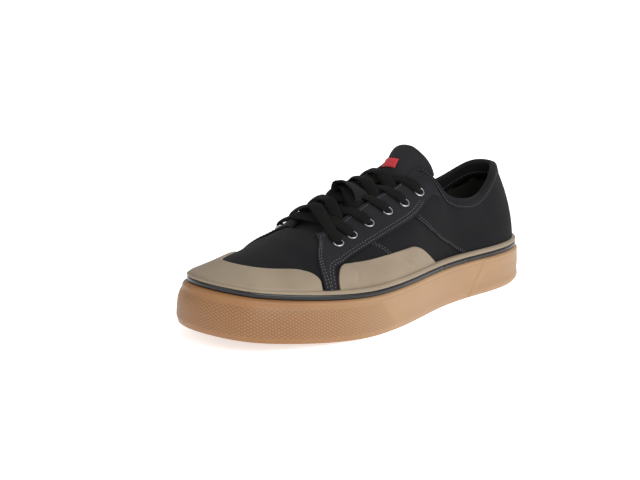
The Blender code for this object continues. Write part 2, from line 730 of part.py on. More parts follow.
def tongue_rows():
    """Seven points across each row: three under each facing and one on the crest."""
    rows = []
    depth = -(WALL + TONGUE_GAP)
    fan = around(0.800, 1), around(0.800, -1)
    for tuck in (VAMP_TUCK, TONGUE_INSET):
        u = np.linspace(fan[0], fan[1], 7)
        rows.append(lifted(u, edge_share(u, tuck), depth))
    for foot, crest, share in TONGUE_ROWS:
        points = []
        for side in (1, -1):
            u = around(foot, side)
            for tuck in np.linspace(TONGUE_TUCK * share, TONGUE_INSET, 3):
                points.append(lifted(u, float(edge_share(u, tuck)[0]), depth))
        middle = (points[2] + points[5]) / 2.0 + np.array([0.0, 0.0, crest])
        rows.append(np.array(points[:3] + [middle] + points[:2:-1]))
    for along, high, half, edge_along, edge_high in TONGUE_TOP:
        across = np.array([1.0, 0.70, 0.38, 0.0, -0.38, -0.70, -1.0])
        drop = across ** 2
        x = (along + (edge_along - along) * drop) * LENGTH
        y = (TONGUE_SIDE + half * across) * BALL_WIDTH
        z = (high + (edge_high - high) * drop) * COLLAR_HEIGHT
        rows.append(np.column_stack([x, y, z]))
    return np.array(rows)


def tongue_surface(across, along):
    """Points of the tongue's outer face; across runs 0 to 1 from the outer side, along from
    the vamp to the top."""
    rows = tongue_rows()
    places = np.array([spline(np.linspace(0.0, 1.0, 7), row, across) for row in rows])
    knots = np.concatenate([[0.0], np.cumsum(np.linalg.norm(np.diff(rows[:, 3], axis=0), axis=1))])
    flat = spline(knots / knots[-1], places.reshape(len(rows), -1), along)
    return flat.reshape(len(along), len(across), 3)


def sheet_normals(grid):
    first = np.gradient(grid, axis=0)
    second = np.gradient(grid, axis=1)
    normal = unit(np.cross(first, second))
    return normal if normal[..., 2].mean() > 0 else -normal


def make_tongue():
    face = tongue_surface(np.linspace(0.0, 1.0, 9), np.linspace(0.0, 1.0, 18))
    return sheet_body("tongue", face, face - sheet_normals(face) * TONGUE_THICK, "canvas")


def make_label():
    """Small bare tab sewn across the tongue below its top."""
    grid = tongue_surface(np.linspace(0.0, 1.0, 9), np.linspace(0.0, 1.0, 18))
    middle = np.linalg.norm(np.diff(grid[:, 4], axis=0), axis=1).sum()
    widest = np.linalg.norm(np.diff(grid[-4], axis=0), axis=1).sum()
    across, along = LABEL_LENGTH / 2.0 / widest, LABEL_DEPTH / 2.0 / middle
    face = tongue_surface(np.linspace(LABEL_PLACE[0] - across, LABEL_PLACE[0] + across, 7),
                          np.linspace(LABEL_PLACE[1] - along, LABEL_PLACE[1] + along, 3))
    normal = sheet_normals(face)
    low, high = LAYER_GAP, LAYER_GAP + LABEL_THICK
    return sheet_body("tongue_label", face + normal * high, face + normal * low, "label_red")


# Eyelets, laces and the lace keeper

def eyelet_place(index, side):
    """Centre on the eyestay, with the surface's normal."""
    share = index / (EYELETS - 1)
    u = around(EYELET_FEET[0] + (EYELET_FEET[1] - EYELET_FEET[0]) * share, side)
    v = float(edge_share(u, EYELET_SET)[0])
    low = lifted(u, v, LAYER_GAP + SUEDE + GAP)
    return low, unit(lifted(u, v, 0.002) - lifted(u, v, 0.0))


def make_eyelet(name, index, side):
    """Turned ring with a rounded face."""
    centre, normal = eyelet_place(index, side)
    body = bmesh.new()
    middle = (EYELET_RADIUS + EYELET_HOLE) / 2.0
    profile = ((EYELET_RADIUS, 0.0), (EYELET_RADIUS, EYELET_HEIGHT * 0.45),
               (middle, EYELET_HEIGHT), (EYELET_HOLE, EYELET_HEIGHT * 0.5), (EYELET_HOLE, 0.0))
    start = [body.verts.new((radius, 0.0, height)) for radius, height in profile]
    edges = [body.edges.new((a, b)) for a, b in zip(start, start[1:] + start[:1])]
    bmesh.ops.spin(body, geom=start + edges, cent=(0, 0, 0), axis=(0, 0, 1), dvec=(0, 0, 0),
                   angle=math.tau, steps=10, use_merge=True, use_duplicate=False)
    turn = Vector((0, 0, 1)).rotation_difference(Vector(normal)).to_matrix().to_4x4()
    move = Matrix.Translation(Vector(placed(centre))) @ turn
    bmesh.ops.transform(body, matrix=move, verts=body.verts)
    return finish_body(name, body, "eyelet_metal")


def tree_of(thing):
    body = bmesh.new()
    body.from_mesh(thing.data)
    tree = BVHTree.FromBMesh(body)
    body.free()
    return tree


def height_over(x, y, trees):
    """Top of what lies under a point, each tree with its own clearance."""
    best = -1.0
    for tree, clearance in trees:
        hit, normal, _, _ = tree.ray_cast(Vector((x, y, 1.0)), Vector((0, 0, -1)))
        if hit is not None:
            best = max(best, hit.z + clearance / max(abs(normal.z), 0.35))
    return best


def taut(run, heights):
    """Corners of a string pulled over a row of points."""
    hull = []
    for point in zip(run, heights):
        while len(hull) > 1:
            (ax, az), (bx, bz) = hull[-2], hull[-1]
            if (bz - az) * (point[0] - ax) > (point[1] - az) * (bx - ax):
                break
            hull.pop()
        hull.append(point)
    return np.array(hull)


def make_strand(name, start, stop, width, thick, trees, paint, samples=33):
    """Flat strap drawn taut from one place to another over what lies between them."""
    start, stop = np.array(start[:2]), np.array(stop[:2])
    heading = unit(stop - start)
    sideways = np.array([-heading[1], heading[0]]) * width / 2.0
    length = np.linalg.norm(stop - start)
    run = np.linspace(0.0, length, samples)
    across = np.linspace(-1.0, 1.0, 7)
    line = start + heading * run[:, None]
    under = np.array([[height_over(x, y, trees) for x, y in line + sideways * place] for place in across])
    # the strap stays flat across, so what lies under its middle lifts its edges
    over = under[0] + (under[-1] - under[0]) * (across[:, None] + 1.0) / 2.0
    lift = (under - over).max(axis=0)
    pulled = [taut(run, heights + lift) for heights in (under[0], under[-1])]
    stations = np.unique(np.concatenate([corners[:, 0] for corners in pulled]))
    line = start + heading * stations[:, None]
    edges = [np.column_stack([line + offset, np.interp(stations, corners[:, 0], corners[:, 1])])
             for offset, corners in zip((-sideways, sideways), pulled)]
    low = np.stack(edges, axis=1)
    high = low + np.array([0.0, 0.0, thick])
    return sheet_body(name, high, low, paint, already_placed=True)


def join(keep, other):
    """Boolean union of two pieces into the first."""
    union = keep.modifiers.new("join", "BOOLEAN")
    union.operation = "UNION"
    union.solver = "EXACT"
    union.object = other
    graph = bpy.context.evaluated_depsgraph_get()
    mesh = bpy.data.meshes.new_from_object(keep.evaluated_get(graph))
    keep.modifiers.remove(union)
    keep.data = mesh
    bpy.data.objects.remove(other, do_unlink=True)
    return keep


def lace_ends(index, from_side):
    """Start and stop of the strand from one eyelet to the next one on the other side."""
    start = placed(eyelet_place(index, from_side)[0])
    stop = placed(eyelet_place(index + 1, -from_side)[0])
    if index > 0:
        # the strand comes out from under the facing, so it starts at the facing's edge
        share = index / (EYELETS - 1)
        u = around(EYELET_FEET[0] + (EYELET_FEET[1] - EYELET_FEET[0]) * share, from_side)
        edge = placed(skin(u, 1.0))
        start = edge + unit(stop - edge) * LACE_WIDTH * 0.42
    return start, stop


def make_crossing(index, below):
    """Two strands that cross on the tongue, the outer side's one on top."""
    name = "lace_crossing_%d" % (index + 1)
    paint = "lace"
    start, stop = lace_ends(index, -1)
    under = make_strand(name + "_under", start, stop, LACE_WIDTH, LACE_THICK, below, paint)
    start, stop = lace_ends(index, 1)
    over = below + [(tree_of(under), -LACE_THICK * 0.4)]
    top = make_strand(name, start, stop, LACE_WIDTH, LACE_THICK, over, paint)
    return join(top, under)


def make_laces(carriers):
    """Crossings from the top down, because each lies over the start of the next."""
    below = [(tree_of(thing), LACE_GAP) for thing in carriers]
    made = []
    for index in range(EYELETS - 2, -1, -1):
        crossing = make_crossing(index, below)
        below.append((tree_of(crossing), GAP))
        made.append(crossing)
    share = 2.5 / (EYELETS - 1)
    foot = EYELET_FEET[0] + (EYELET_FEET[1] - EYELET_FEET[0]) * share
    out, back = placed(skin(around(foot, 1), 1.0)), placed(skin(around(foot, -1), 1.0))
    middle, reach = (out + back) / 2.0, (out - back) / 2.0 * KEEPER_REACH
    make_strand("lace_keeper", middle + reach, middle - reach, KEEPER_WIDTH, KEEPER_THICK, below, "lace")
    return made


def main():
    clear_scene()
    make_outsole()
    make_strip("foxing_black", SIDE_HEIGHT, TAN_LOW, 0.0, "black_rubber")
    make_strip("foxing_tan", TAN_LOW, foot_height(COLUMNS), TAN_LIP, "tan_rubber")
    make_insole()
    carriers = [make_upper(), make_tongue()]
    make_toe_cap()
    make_side_wrap()
    make_heel_panel()
    make_collar_band()
    make_label()
    for side, word in ((1, "lateral"), (-1, "medial")):
        carriers.append(make_eyestay("eyestay_" + word, side))
        for index in range(EYELETS):
            carriers.append(make_eyelet("eyelet_%s_%d" % (word, index + 1), index, side))
    make_laces(carriers)


main()
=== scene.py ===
# %% [markdown]
# This script dresses a left skateboarding shoe: a gum cup sole, a canvas upper with suede
# eyestays, a rubber toe cap and flat laces. The plain solids are already made, so they are
# loaded first as a fixed frame, and every piece made here sits on them.

# %% Load the solids
import math

import bmesh
import bpy
import numpy as np
from mathutils import Matrix, Vector
from mathutils.bvhtree import BVHTree


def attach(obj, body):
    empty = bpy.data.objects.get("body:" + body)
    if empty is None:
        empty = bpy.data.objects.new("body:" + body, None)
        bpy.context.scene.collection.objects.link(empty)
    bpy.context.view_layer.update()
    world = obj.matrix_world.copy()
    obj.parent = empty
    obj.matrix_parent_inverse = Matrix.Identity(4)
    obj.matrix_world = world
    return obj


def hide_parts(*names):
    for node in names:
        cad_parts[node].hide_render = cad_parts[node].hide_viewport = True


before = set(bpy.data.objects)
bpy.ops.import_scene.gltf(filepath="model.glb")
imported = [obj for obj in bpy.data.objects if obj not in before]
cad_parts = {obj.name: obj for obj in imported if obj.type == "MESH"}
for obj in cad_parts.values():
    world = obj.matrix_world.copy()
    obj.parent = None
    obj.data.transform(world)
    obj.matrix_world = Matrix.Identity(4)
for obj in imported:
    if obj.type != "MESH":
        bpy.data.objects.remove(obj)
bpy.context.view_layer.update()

# %% [markdown]
# The camera comes first. Its direction, height and distance were fitted to the picture by
# laying the solids' outline over it, so it looks at the toe and the outer side from a little
# above. A lens of 62 mm on a 36 mm sensor gives the picture's mild perspective.

# %% Camera
AZIMUTH = math.radians(139.01)
ELEVATION = math.radians(13.40)
CAMERA_PLACE = (0.53133, 0.55649, 0.23139)
FOCAL_PIXELS = 1104.86
FRAME_PIXELS = 640.0
SENSOR = 36.0

camera_data = bpy.data.cameras.new("camera")
camera_data.sensor_width = SENSOR
camera_data.lens = FOCAL_PIXELS * SENSOR / FRAME_PIXELS
camera = bpy.data.objects.new("camera", camera_data)
camera.rotation_euler = (math.pi / 2.0 - ELEVATION, 0.0, AZIMUTH)
camera.location = CAMERA_PLACE
bpy.context.scene.collection.objects.link(camera)
bpy.context.scene.camera = camera
print("camera lens in mm:", round(camera_data.lens, 2))

# %% [markdown]
# A shoe for sale is shown on plain white with a faint shadow. A large pale floor fills the
# view, because the camera looks down on it, and three broad area lights give the soft
# sheen along the rubber and the black cloth. One could light it with the world alone, but
# then the black pieces would lose their shape.

# %% Floor and lights
FLOOR_SIZE = 60.0
WORLD_STRENGTH = 0.50
LIGHT_COLUMNS = ("name", "place", "size", "power", "aim")
LIGHTS = (
    ("key_light", (0.20, 1.60, 1.15), 1.40, 24.0, (0.0, 0.0, 0.05)),
    ("toe_light", (1.60, -0.20, 1.10), 1.10, 5.0, (0.05, 0.0, 0.05)),
    ("back_light", (-1.30, -0.60, 1.40), 1.40, 9.0, (0.0, 0.0, 0.05)),
)


def named_rows(table, columns):
    """The table's rows, with their values under the columns' names."""
    return [dict(zip(columns, row)) for row in table]


def area_light(name, place, size, power, aim):
    data = bpy.data.lights.new(name, "AREA")
    data.shape = "SQUARE"
    data.size = size
    data.energy = power
    light = bpy.data.objects.new(name, data)
    light.location = place
    light.rotation_euler = (Vector(aim) - Vector(place)).to_track_quat("-Z", "Y").to_euler()
    bpy.context.scene.collection.objects.link(light)


for row in named_rows(LIGHTS, LIGHT_COLUMNS):
    area_light(**row)

world = bpy.data.worlds.new("studio")
world.use_nodes = True
world.node_tree.nodes["Background"].inputs["Color"].default_value = (1.0, 1.0, 1.0, 1.0)
world.node_tree.nodes["Background"].inputs["Strength"].default_value = WORLD_STRENGTH
bpy.context.scene.world = world
bpy.context.scene.view_settings.view_transform = "Standard"

floor_body = bmesh.new()
bmesh.ops.create_grid(floor_body, x_segments=1, y_segments=1, size=FLOOR_SIZE / 2.0)
floor_mesh = bpy.data.meshes.new("floor")
floor_body.to_mesh(floor_mesh)
floor_body.free()
floor = bpy.data.objects.new("floor", floor_mesh)
bpy.context.scene.collection.objects.link(floor)
print("lights:", len(LIGHTS))

# %% [markdown]
# The sizes below are the shoe's own, in metres. They are those of the solids, apart from
# the cap's and the patch's edges and the tab's place, which were read again more closely.
# Every piece is worked out from them, so that a thick sole or a thin suede layer ends up
# where the solids have it.

# %% Sizes
LENGTH = 0.300
BALL_WIDTH = 0.1074
COLLAR_HEIGHT = 0.0885
GAP = 0.0003
LAYER_GAP = 0.0005
SIDE_HEIGHT = 0.0272
SIDE_THICK = 0.0039
TOE_THICK = 0.0102
FLOOR_THICK = 0.0130
TOE_SPRING = 0.0112
SPRING_START = 0.64
SPRING_CURVE = 1.6
HEEL_BUMPER = 0.0009
BUMPER_TOP = 0.215
BUMPER_LOW = 0.280
BUMPER_STEP = 0.0008
BLACK_HEIGHT = 0.0036
TAN_HEIGHT = 0.0034
TAN_TOE_HEIGHT = 0.0017
STRIP_THICK = 0.0026
INSOLE_THICK = 0.0046
WALL = 0.0020
RUBBER = 0.0012
SUEDE = 0.0011
PANEL = 0.0009
BAND_DEPTH = 0.0065
CAP_ENDS = (0.784, 0.786)
CAP_CORNER = 0.0200
WRAP_DEPTH = 0.0172
WRAP_ENDS = (0.405, 0.743)
WRAP_CORNER = 0.0100
WRAP_SLOPE = 0.0310
TONGUE_THICK = 0.0032
TONGUE_GAP = 0.0018
TONGUE_TUCK = 0.0120
TONGUE_INSET = 0.0020
VAMP_TUCK = 0.0080
EYELETS = 6
EYELET_RADIUS = 0.0037
EYELET_SET = 0.0140
EYELET_FEET = (0.689, 0.440)
LACE_WIDTH = 0.0076
KEEPER_WIDTH = 0.0125
LABEL_LENGTH = 0.0200
LABEL_DEPTH = 0.0070
LABEL_PLACE = (0.632, 0.845)
STRIP_FACE = (0.33, 0.745)
INNER_SIDE = STRIP_FACE[0] * SIDE_THICK + STRIP_THICK
INNER_TOE = STRIP_FACE[1] * TOE_THICK + STRIP_THICK
TAN_LOW = SIDE_HEIGHT + BLACK_HEIGHT
print("shoe length in mm:", LENGTH * 1000)

# %% [markdown]
# The tables hold the last, the foot-shaped form that a shoe is made on. The outline is the
# sole seen from above. Each section of the upper starts on the outline and ends at the rim,
# with its lean and its pull at both ends. Few rows are enough, because smooth curves run
# through them.

# %% Tables of the last
TIP_SIDE = -0.0675
OUTLINE_COLUMNS = ("along", "outer", "inner")
OUTLINE = (
    (0.020, 0.172, 0.169),
    (0.060, 0.277, 0.272),
    (0.120, 0.339, 0.342),
    (0.200, 0.363, 0.370),
    (0.300, 0.373, 0.356),
    (0.400, 0.417, 0.337),
    (0.500, 0.491, 0.346),
    (0.600, 0.547, 0.393),
    (0.680, 0.555, 0.445),
    (0.760, 0.525, 0.478),
    (0.830, 0.471, 0.478),
    (0.890, 0.409, 0.445),
    (0.945, 0.318, 0.372),
    (0.982, 0.164, 0.256),
)
SOLE_RING_COLUMNS = ("height", "side", "toe", "bumper")
SOLE_RINGS = (
    (0.000, 0.36, 0.060, 0.0),
    (0.085, 0.08, 0.000, 1.0),
    (0.300, 0.00, 0.000, 1.0),
    (0.520, 0.00, 0.060, 1.0),
    (0.740, 0.00, 0.215, 1.0),
    (0.900, 0.02, 0.380, 1.0),
    (0.975, 0.12, 0.490, 0.6),
    (1.000, 0.30, 0.600, 0.0),
)
SECTION_COLUMNS = ("foot", "along", "outer", "outer_high", "inner", "inner_high",
                   "foot_lean", "foot_pull", "top_lean", "top_pull")
SECTIONS = (
    (0.000, 0.0580, 0.000, 1.012, 0.000, 1.012, -3, 0.35, 25, 0.35),
    (0.050, 0.0867, 0.108, 1.000, 0.138, 0.993, -3, 0.35, 25, 0.35),
    (0.120, 0.1310, 0.190, 0.935, 0.236, 0.887, -3, 0.35, 16, 0.35),
    (0.200, 0.1960, 0.242, 0.812, 0.265, 0.826, -3, 0.35, 12, 0.35),
    (0.270, 0.2670, 0.270, 0.802, 0.279, 0.836, -4, 0.35, 12, 0.35),
    (0.335, 0.3330, 0.265, 0.888, 0.272, 0.915, -4, 0.36, 16, 0.35),
    (0.385, 0.3630, 0.228, 1.034, 0.240, 1.045, -4, 0.38, 28, 0.35),
    (0.412, 0.3780, 0.160, 1.086, 0.163, 1.090, -4, 0.40, 50, 0.32),
    (0.440, 0.4150, 0.158, 1.032, 0.158, 1.048, -4, 0.40, 60, 0.35),
    (0.520, 0.5000, 0.161, 0.934, 0.158, 0.970, -4, 0.40, 61, 0.38),
    (0.600, 0.6000, 0.166, 0.824, 0.161, 0.872, -4, 0.40, 61, 0.40),
    (0.680, 0.6740, 0.172, 0.729, 0.165, 0.762, -3, 0.40, 61, 0.40),
    (0.735, 0.7000, 0.154, 0.710, 0.150, 0.719, -10, 0.34, 67, 0.38),
    (0.800, 0.7120, 0.102, 0.720, 0.102, 0.724, -32, 0.26, 70, 0.36),
    (0.880, 0.7165, 0.047, 0.730, 0.047, 0.732, -56, 0.22, 70, 0.36),
    (1.000, 0.7175, 0.000, 0.7345, 0.000, 0.7345, -70, 0.22, 68, 0.35),
)
EYESTAY_COLUMNS = ("inner_foot", "inner_up", "outer_foot", "outer_up")
EYESTAY = (
    (0.445, 1.00, 0.368, 0.815),
    (0.490, 1.00, 0.425, 0.655),
    (0.545, 1.00, 0.500, 0.560),
    (0.600, 1.00, 0.565, 0.520),
    (0.650, 1.00, 0.625, 0.495),
    (0.700, 1.00, 0.672, 0.460),
    (0.738, 1.00, 0.700, 0.405),
    (0.757, 0.84, 0.724, 0.345),
    (0.780, 0.58, 0.742, 0.285),
    (0.782, 0.30, 0.747, 0.140),
    (0.779, 0.012, 0.747, 0.012),
)
TONGUE_SIDE = -0.004
TONGUE_TOP_COLUMNS = ("along", "high", "half", "edge_along", "edge_high")
TONGUE_TOP = (
    (0.4050, 1.135, 0.206, 0.3540, 1.010),
    (0.3830, 1.215, 0.215, 0.3450, 1.090),
    (0.3690, 1.257, 0.186, 0.3510, 1.170),
    (0.3640, 1.276, 0.110, 0.3590, 1.243),
)
TONGUE_ROW_COLUMNS = ("foot", "crest", "tuck_share")
TONGUE_ROWS = (
    (0.700, 0.0010, 0.55),
    (0.640, 0.0018, 0.90),
    (0.580, 0.0026, 1.00),
    (0.520, 0.0034, 1.00),
    (0.460, 0.0044, 1.00),
)
print("rows:", len(OUTLINE), "outline,", len(SECTIONS), "sections")

# %% [markdown]
# Smooth curves through a few rows are cubic splines: each stretch is a cubic, and slope and
# bend match at every row. One function serves open tables and closed ones such as the
# outline, which runs round the shoe.

# %% Smooth curves


def column(table, names, name):
    return np.array([row[names.index(name)] for row in table], float)


def blend(value):
    """Smooth step from 0 to 1."""
    value = np.clip(value, 0.0, 1.0)
    return value * value * (3.0 - 2.0 * value)


def spline(knots, values, at, period=0.0):
    """Cubic curve through the values at the knots, closed over a period if one is given."""
    knots = np.asarray(knots, float)
    values = np.asarray(values, float).reshape(len(knots), -1)
    at = np.asarray(at, float)
    if period:
        reach = min(6, len(knots))
        knots = np.concatenate([knots[-reach:] - period, knots, knots[:reach] + period])
        values = np.concatenate([values[-reach:], values, values[:reach]])
        at = at % period
    count = len(knots)
    step = np.diff(knots)
    rule = np.eye(count)
    pull = np.zeros_like(values)
    for i in range(1, count - 1):
        rule[i, i - 1:i + 2] = step[i - 1], 2.0 * (step[i - 1] + step[i]), step[i]
        slope_after = (values[i + 1] - values[i]) / step[i]
        slope_before = (values[i] - values[i - 1]) / step[i - 1]
        pull[i] = 6.0 * (slope_after - slope_before)
    bend = np.linalg.solve(rule, pull)
    i = np.clip(np.searchsorted(knots, at, side="right") - 1, 0, count - 2)
    h = step[i][..., None]
    a = (knots[i + 1] - at)[..., None]
    b = (at - knots[i])[..., None]
    cubic = (bend[i] * a ** 3 + bend[i + 1] * b ** 3) / (6.0 * h)
    straight = (values[i] / h - bend[i] * h / 6.0) * a + (values[i + 1] / h - bend[i + 1] * h / 6.0) * b
    return cubic + straight


def unit(vectors):
    return vectors / np.maximum(np.linalg.norm(vectors, axis=-1, keepdims=True), 1e-12)


print("spline at a knot:", float(spline([0, 1, 2], [0, 5, 0], [1.0])[0, 0]))

# %% [markdown]
# The outline is measured once, in points so close that reading between them is exact
# enough. u then says how far round the shoe a place is, from 0 at the heel over the outer
# side to the toe and back over the inner side.

# %% Outline of the sole


def measure_outline(samples=2400):
    """Dense points of the outline, with the share of its length at each."""
    along = column(OUTLINE, OUTLINE_COLUMNS, "along") * LENGTH
    outer = column(OUTLINE, OUTLINE_COLUMNS, "outer") * BALL_WIDTH
    inner = column(OUTLINE, OUTLINE_COLUMNS, "inner") * BALL_WIDTH
    tip = [[LENGTH, TIP_SIDE * BALL_WIDTH]]
    back = np.column_stack([along, -inner])[::-1]
    points = np.concatenate([[[0.0, 0.0]], np.column_stack([along, outer]), tip, back])
    knots = np.concatenate([[0.0], np.cumsum(np.linalg.norm(np.diff(points, axis=0), axis=1))])
    period = knots[-1] + np.linalg.norm(points[0] - points[-1])
    dense = spline(knots, points, np.linspace(0.0, period, samples, endpoint=False), period)
    closed = np.vstack([dense, dense[:1]])
    run = np.concatenate([[0.0], np.cumsum(np.linalg.norm(np.diff(closed, axis=0), axis=1))])
    return closed, run / run[-1], run[-1]


TOE_START = 0.58
EDGE, EDGE_SHARE, EDGE_LENGTH = measure_outline()
TIP = int(np.argmax(EDGE[:, 0]))
U_TIP = EDGE_SHARE[TIP]
MIDDLE = (EDGE.min(axis=0) + EDGE.max(axis=0)) / 2.0 - np.array([HEEL_BUMPER / 2.0, 0.0])


def outline(u):
    """Point, outward normal and share of the length at each place round the sole."""
    u = np.asarray(u, float)
    small = 0.0008
    here, ahead, behind = (
        np.stack([np.interp((u + shift) % 1.0, EDGE_SHARE, EDGE[:, k]) for k in (0, 1)], axis=-1)
        for shift in (0.0, small, -small))
    run = unit(ahead - behind)
    normal = np.stack([-run[..., 1], run[..., 0]], axis=-1)
    return here, normal, here[..., 0] / LENGTH


def around(along, side):
    """Where the outline passes a share of the length, on the outer (+1) or the inner (-1) side."""
    if side > 0:
        return np.interp(along * LENGTH, np.maximum.accumulate(EDGE[:TIP + 1, 0]), EDGE_SHARE[:TIP + 1])
    back = EDGE[TIP:, 0][::-1]
    return np.interp(along * LENGTH, np.maximum.accumulate(back), EDGE_SHARE[TIP:][::-1])


def toe_share(along):
    """0 at the heel and the sides, 1 at the toe tip."""
    return blend((along - TOE_START) / (1.0 - TOE_START))


def rise(along):
    """Lift of the sole over its flat part."""
    share = np.clip((along - SPRING_START) / (1.0 - SPRING_START), 0.0, None)
    return TOE_SPRING * share ** SPRING_CURVE


def inset_ring(u, side, toe, height, push=0.0):
    """Places inside the outline at a height over the sole's bottom edge."""
    here, normal, along = outline(u)
    inset = side + (toe - side) * toe_share(along) - push
    flat = here - normal * np.asarray(inset)[..., None]
    high = rise(along) + height
    return np.concatenate([flat, np.broadcast_to(high, flat.shape[:-1])[..., None]], axis=-1)


def foot_height(u):
    """Top of the tan strip, where the upper comes into view."""
    return TAN_LOW + TAN_HEIGHT + (TAN_TOE_HEIGHT - TAN_HEIGHT) * toe_share(outline(u)[2])


def placed(points):
    """From the heel's frame to the shoe's own frame, with its origin under the middle."""
    moved = np.array(points, float)
    moved[..., 0] -= MIDDLE[0]
    moved[..., 1] -= MIDDLE[1]
    return moved


print("outline length in mm:", round(EDGE_LENGTH * 1000, 1))

# %% [markdown]
# The upper is a skin of curves: at each u one cubic Bezier curve climbs from the strips to
# the rim, and v says how far up it a place is. Its four handles come from the sections
# table. This keeps the form of the last in a few numbers, and any layer that lies on the
# upper can be found by going out along the skin's normal.

# %% Skin of the upper


def section_table():
    """Top points, leans and pulls of the sections round the whole shoe, against u."""
    rows = []
    last = len(SECTIONS) - 1
    order = [(i, 1) for i in range(last + 1)] + [(i, -1) for i in range(last - 1, 0, -1)]
    for i, side in order:
        row = dict(zip(SECTION_COLUMNS, SECTIONS[i]))
        across, high = ("outer", "outer_high") if side > 0 else ("inner", "inner_high")
        place = 0.0 if i == 0 else U_TIP if i == last else around(row["foot"], side)
        rows.append((place, row["along"] * LENGTH, side * row[across] * BALL_WIDTH,
                     row[high] * COLLAR_HEIGHT, row["foot_lean"], row["foot_pull"],
                     row["top_lean"], row["top_pull"]))
    return np.array(rows, float)


SECTION_TABLE = section_table()


def section_handles(u):
    """Four points of the section's curve at each place."""
    values = spline(SECTION_TABLE[:, 0], SECTION_TABLE[:, 1:], u, 1.0)
    top = values[:, 0:3]
    foot_lean = np.radians(values[:, 3])[:, None]
    foot_pull = values[:, 4][:, None]
    top_lean = np.radians(values[:, 5])[:, None]
    top_pull = values[:, 6][:, None]
    foot = inset_ring(u, INNER_SIDE + GAP, INNER_TOE + GAP, foot_height(u))
    _, normal, _ = outline(u)
    out_foot = np.column_stack([normal, np.zeros(len(u))])
    out_top = unit((foot - top) * np.array([1.0, 1.0, 0.0]) + out_foot * 0.02)
    up = np.array([0.0, 0.0, 1.0])
    size = np.linalg.norm(top - foot, axis=1, keepdims=True)
    low = foot + foot_pull * size * (np.cos(foot_lean) * up + np.sin(foot_lean) * out_foot)
    high = top - top_pull * size * (np.cos(top_lean) * up - np.sin(top_lean) * out_top)
    return foot, low, high, top


def bezier(handles, t):
    """Points at t of the cubic curves with these four handles."""
    foot, low, high, top = handles
    return foot * (1 - t) ** 3 + low * 3 * t * (1 - t) ** 2 + high * 3 * t * t * (1 - t) + top * t ** 3


def skin(u, v):
    """Points of the upper's outer surface; below v = 0 they go straight down."""
    u, v = np.broadcast_arrays(np.asarray(u, float), np.asarray(v, float))
    flat_v = v.ravel()
    handles = section_handles(u.ravel() % 1.0)
    steps = np.linspace(0.0, 1.0, 25)
    curve = bezier(handles, steps[:, None, None])
    run = np.cumsum(np.linalg.norm(np.diff(curve, axis=0), axis=2), axis=0)
    size = run[-1]
    run = np.vstack([np.zeros(len(flat_v)), run]) / size
    which = np.clip((run <= flat_v).sum(axis=0) - 1, 0, len(steps) - 2)
    every = np.arange(len(flat_v))
    low_run, high_run = run[which, every], run[which + 1, every]
    part = np.clip((flat_v - low_run) / (high_run - low_run), 0.0, 1.0)
    points = bezier(handles, ((which + part) * steps[1])[:, None])
    points[:, 2] += np.minimum(flat_v, 0.0) * size
    return points.reshape(u.shape + (3,))


GIRTH_PLACES = np.linspace(0.0, 1.0, 1201)
GIRTH_POINTS = skin(GIRTH_PLACES[:, None], np.linspace(0.0, 1.0, 13)[None, :])
GIRTHS = np.linalg.norm(np.diff(GIRTH_POINTS, axis=1), axis=2).sum(axis=1)


def girth(u):
    """Length of the section from the strips to the rim."""
    return np.interp(np.asarray(u, float) % 1.0, GIRTH_PLACES, GIRTHS)


def skin_normal(u, v):
    small_u, small_v = 0.0006, 0.004
    along_u = skin(u + small_u, v) - skin(u - small_u, v)
    along_v = skin(u, np.minimum(v + small_v, 1.0)) - skin(u, np.minimum(v - small_v, 1.0))
    return unit(np.cross(along_v, along_u))


print("length of the upper's curve at the heel in mm:", round(float(girth(0.0)) * 1000, 1))

# %% [markdown]
# Cloth shoes are never quite smooth: the vamp dips where the toes bend, the quarter has a
# hollow under the ankle, and layers underneath print through. These are laid one by one as
# soft troughs (below zero) and ridges, each along a short line in the shoe's own place,
# and every layer above follows them.

# %% Creases
NEAR_RIM = 0.985
CREASE_COLUMNS = ("start", "stop", "width", "height")
CREASES = (
    ((0.092, -0.034, 0.046), (0.084, 0.030, 0.052), 0.0050, -0.0007),
    ((0.080, -0.030, 0.056), (0.074, 0.026, 0.058), 0.0045, 0.0006),
    ((0.066, -0.036, 0.060), (0.082, -0.018, 0.058), 0.0050, -0.0004),
    ((0.060, 0.038, 0.052), (0.020, 0.044, 0.044), 0.0070, -0.0007),
    ((0.034, 0.040, 0.056), (0.006, 0.046, 0.040), 0.0015, 0.0006),
    ((0.056, 0.044, 0.050), (0.060, 0.052, 0.036), 0.0014, 0.0006),
    ((-0.020, 0.034, 0.062), (-0.060, 0.034, 0.048), 0.0110, -0.0008),
    ((-0.030, -0.036, 0.064), (-0.070, -0.036, 0.048), 0.0110, -0.0008),
    ((0.020, -0.040, 0.058), (0.050, -0.040, 0.048), 0.0080, -0.0008),
    ((-0.100, 0.030, 0.052), (-0.122, 0.022, 0.060), 0.0070, -0.0005),
)


def creases(points):
    """Height that the creases add at each point of the heel's frame."""
    total = np.zeros(points.shape[:-1])
    here = placed(points)
    for crease in named_rows(CREASES, CREASE_COLUMNS):
        start = np.array(crease["start"])
        run = np.array(crease["stop"]) - start
        share = np.clip(((here - start) @ run) / (run @ run), 0.0, 1.0)
        distance = np.linalg.norm(here - start - share[..., None] * run, axis=-1)
        total += crease["height"] * np.exp(-(distance / crease["width"]) ** 2)
    return total


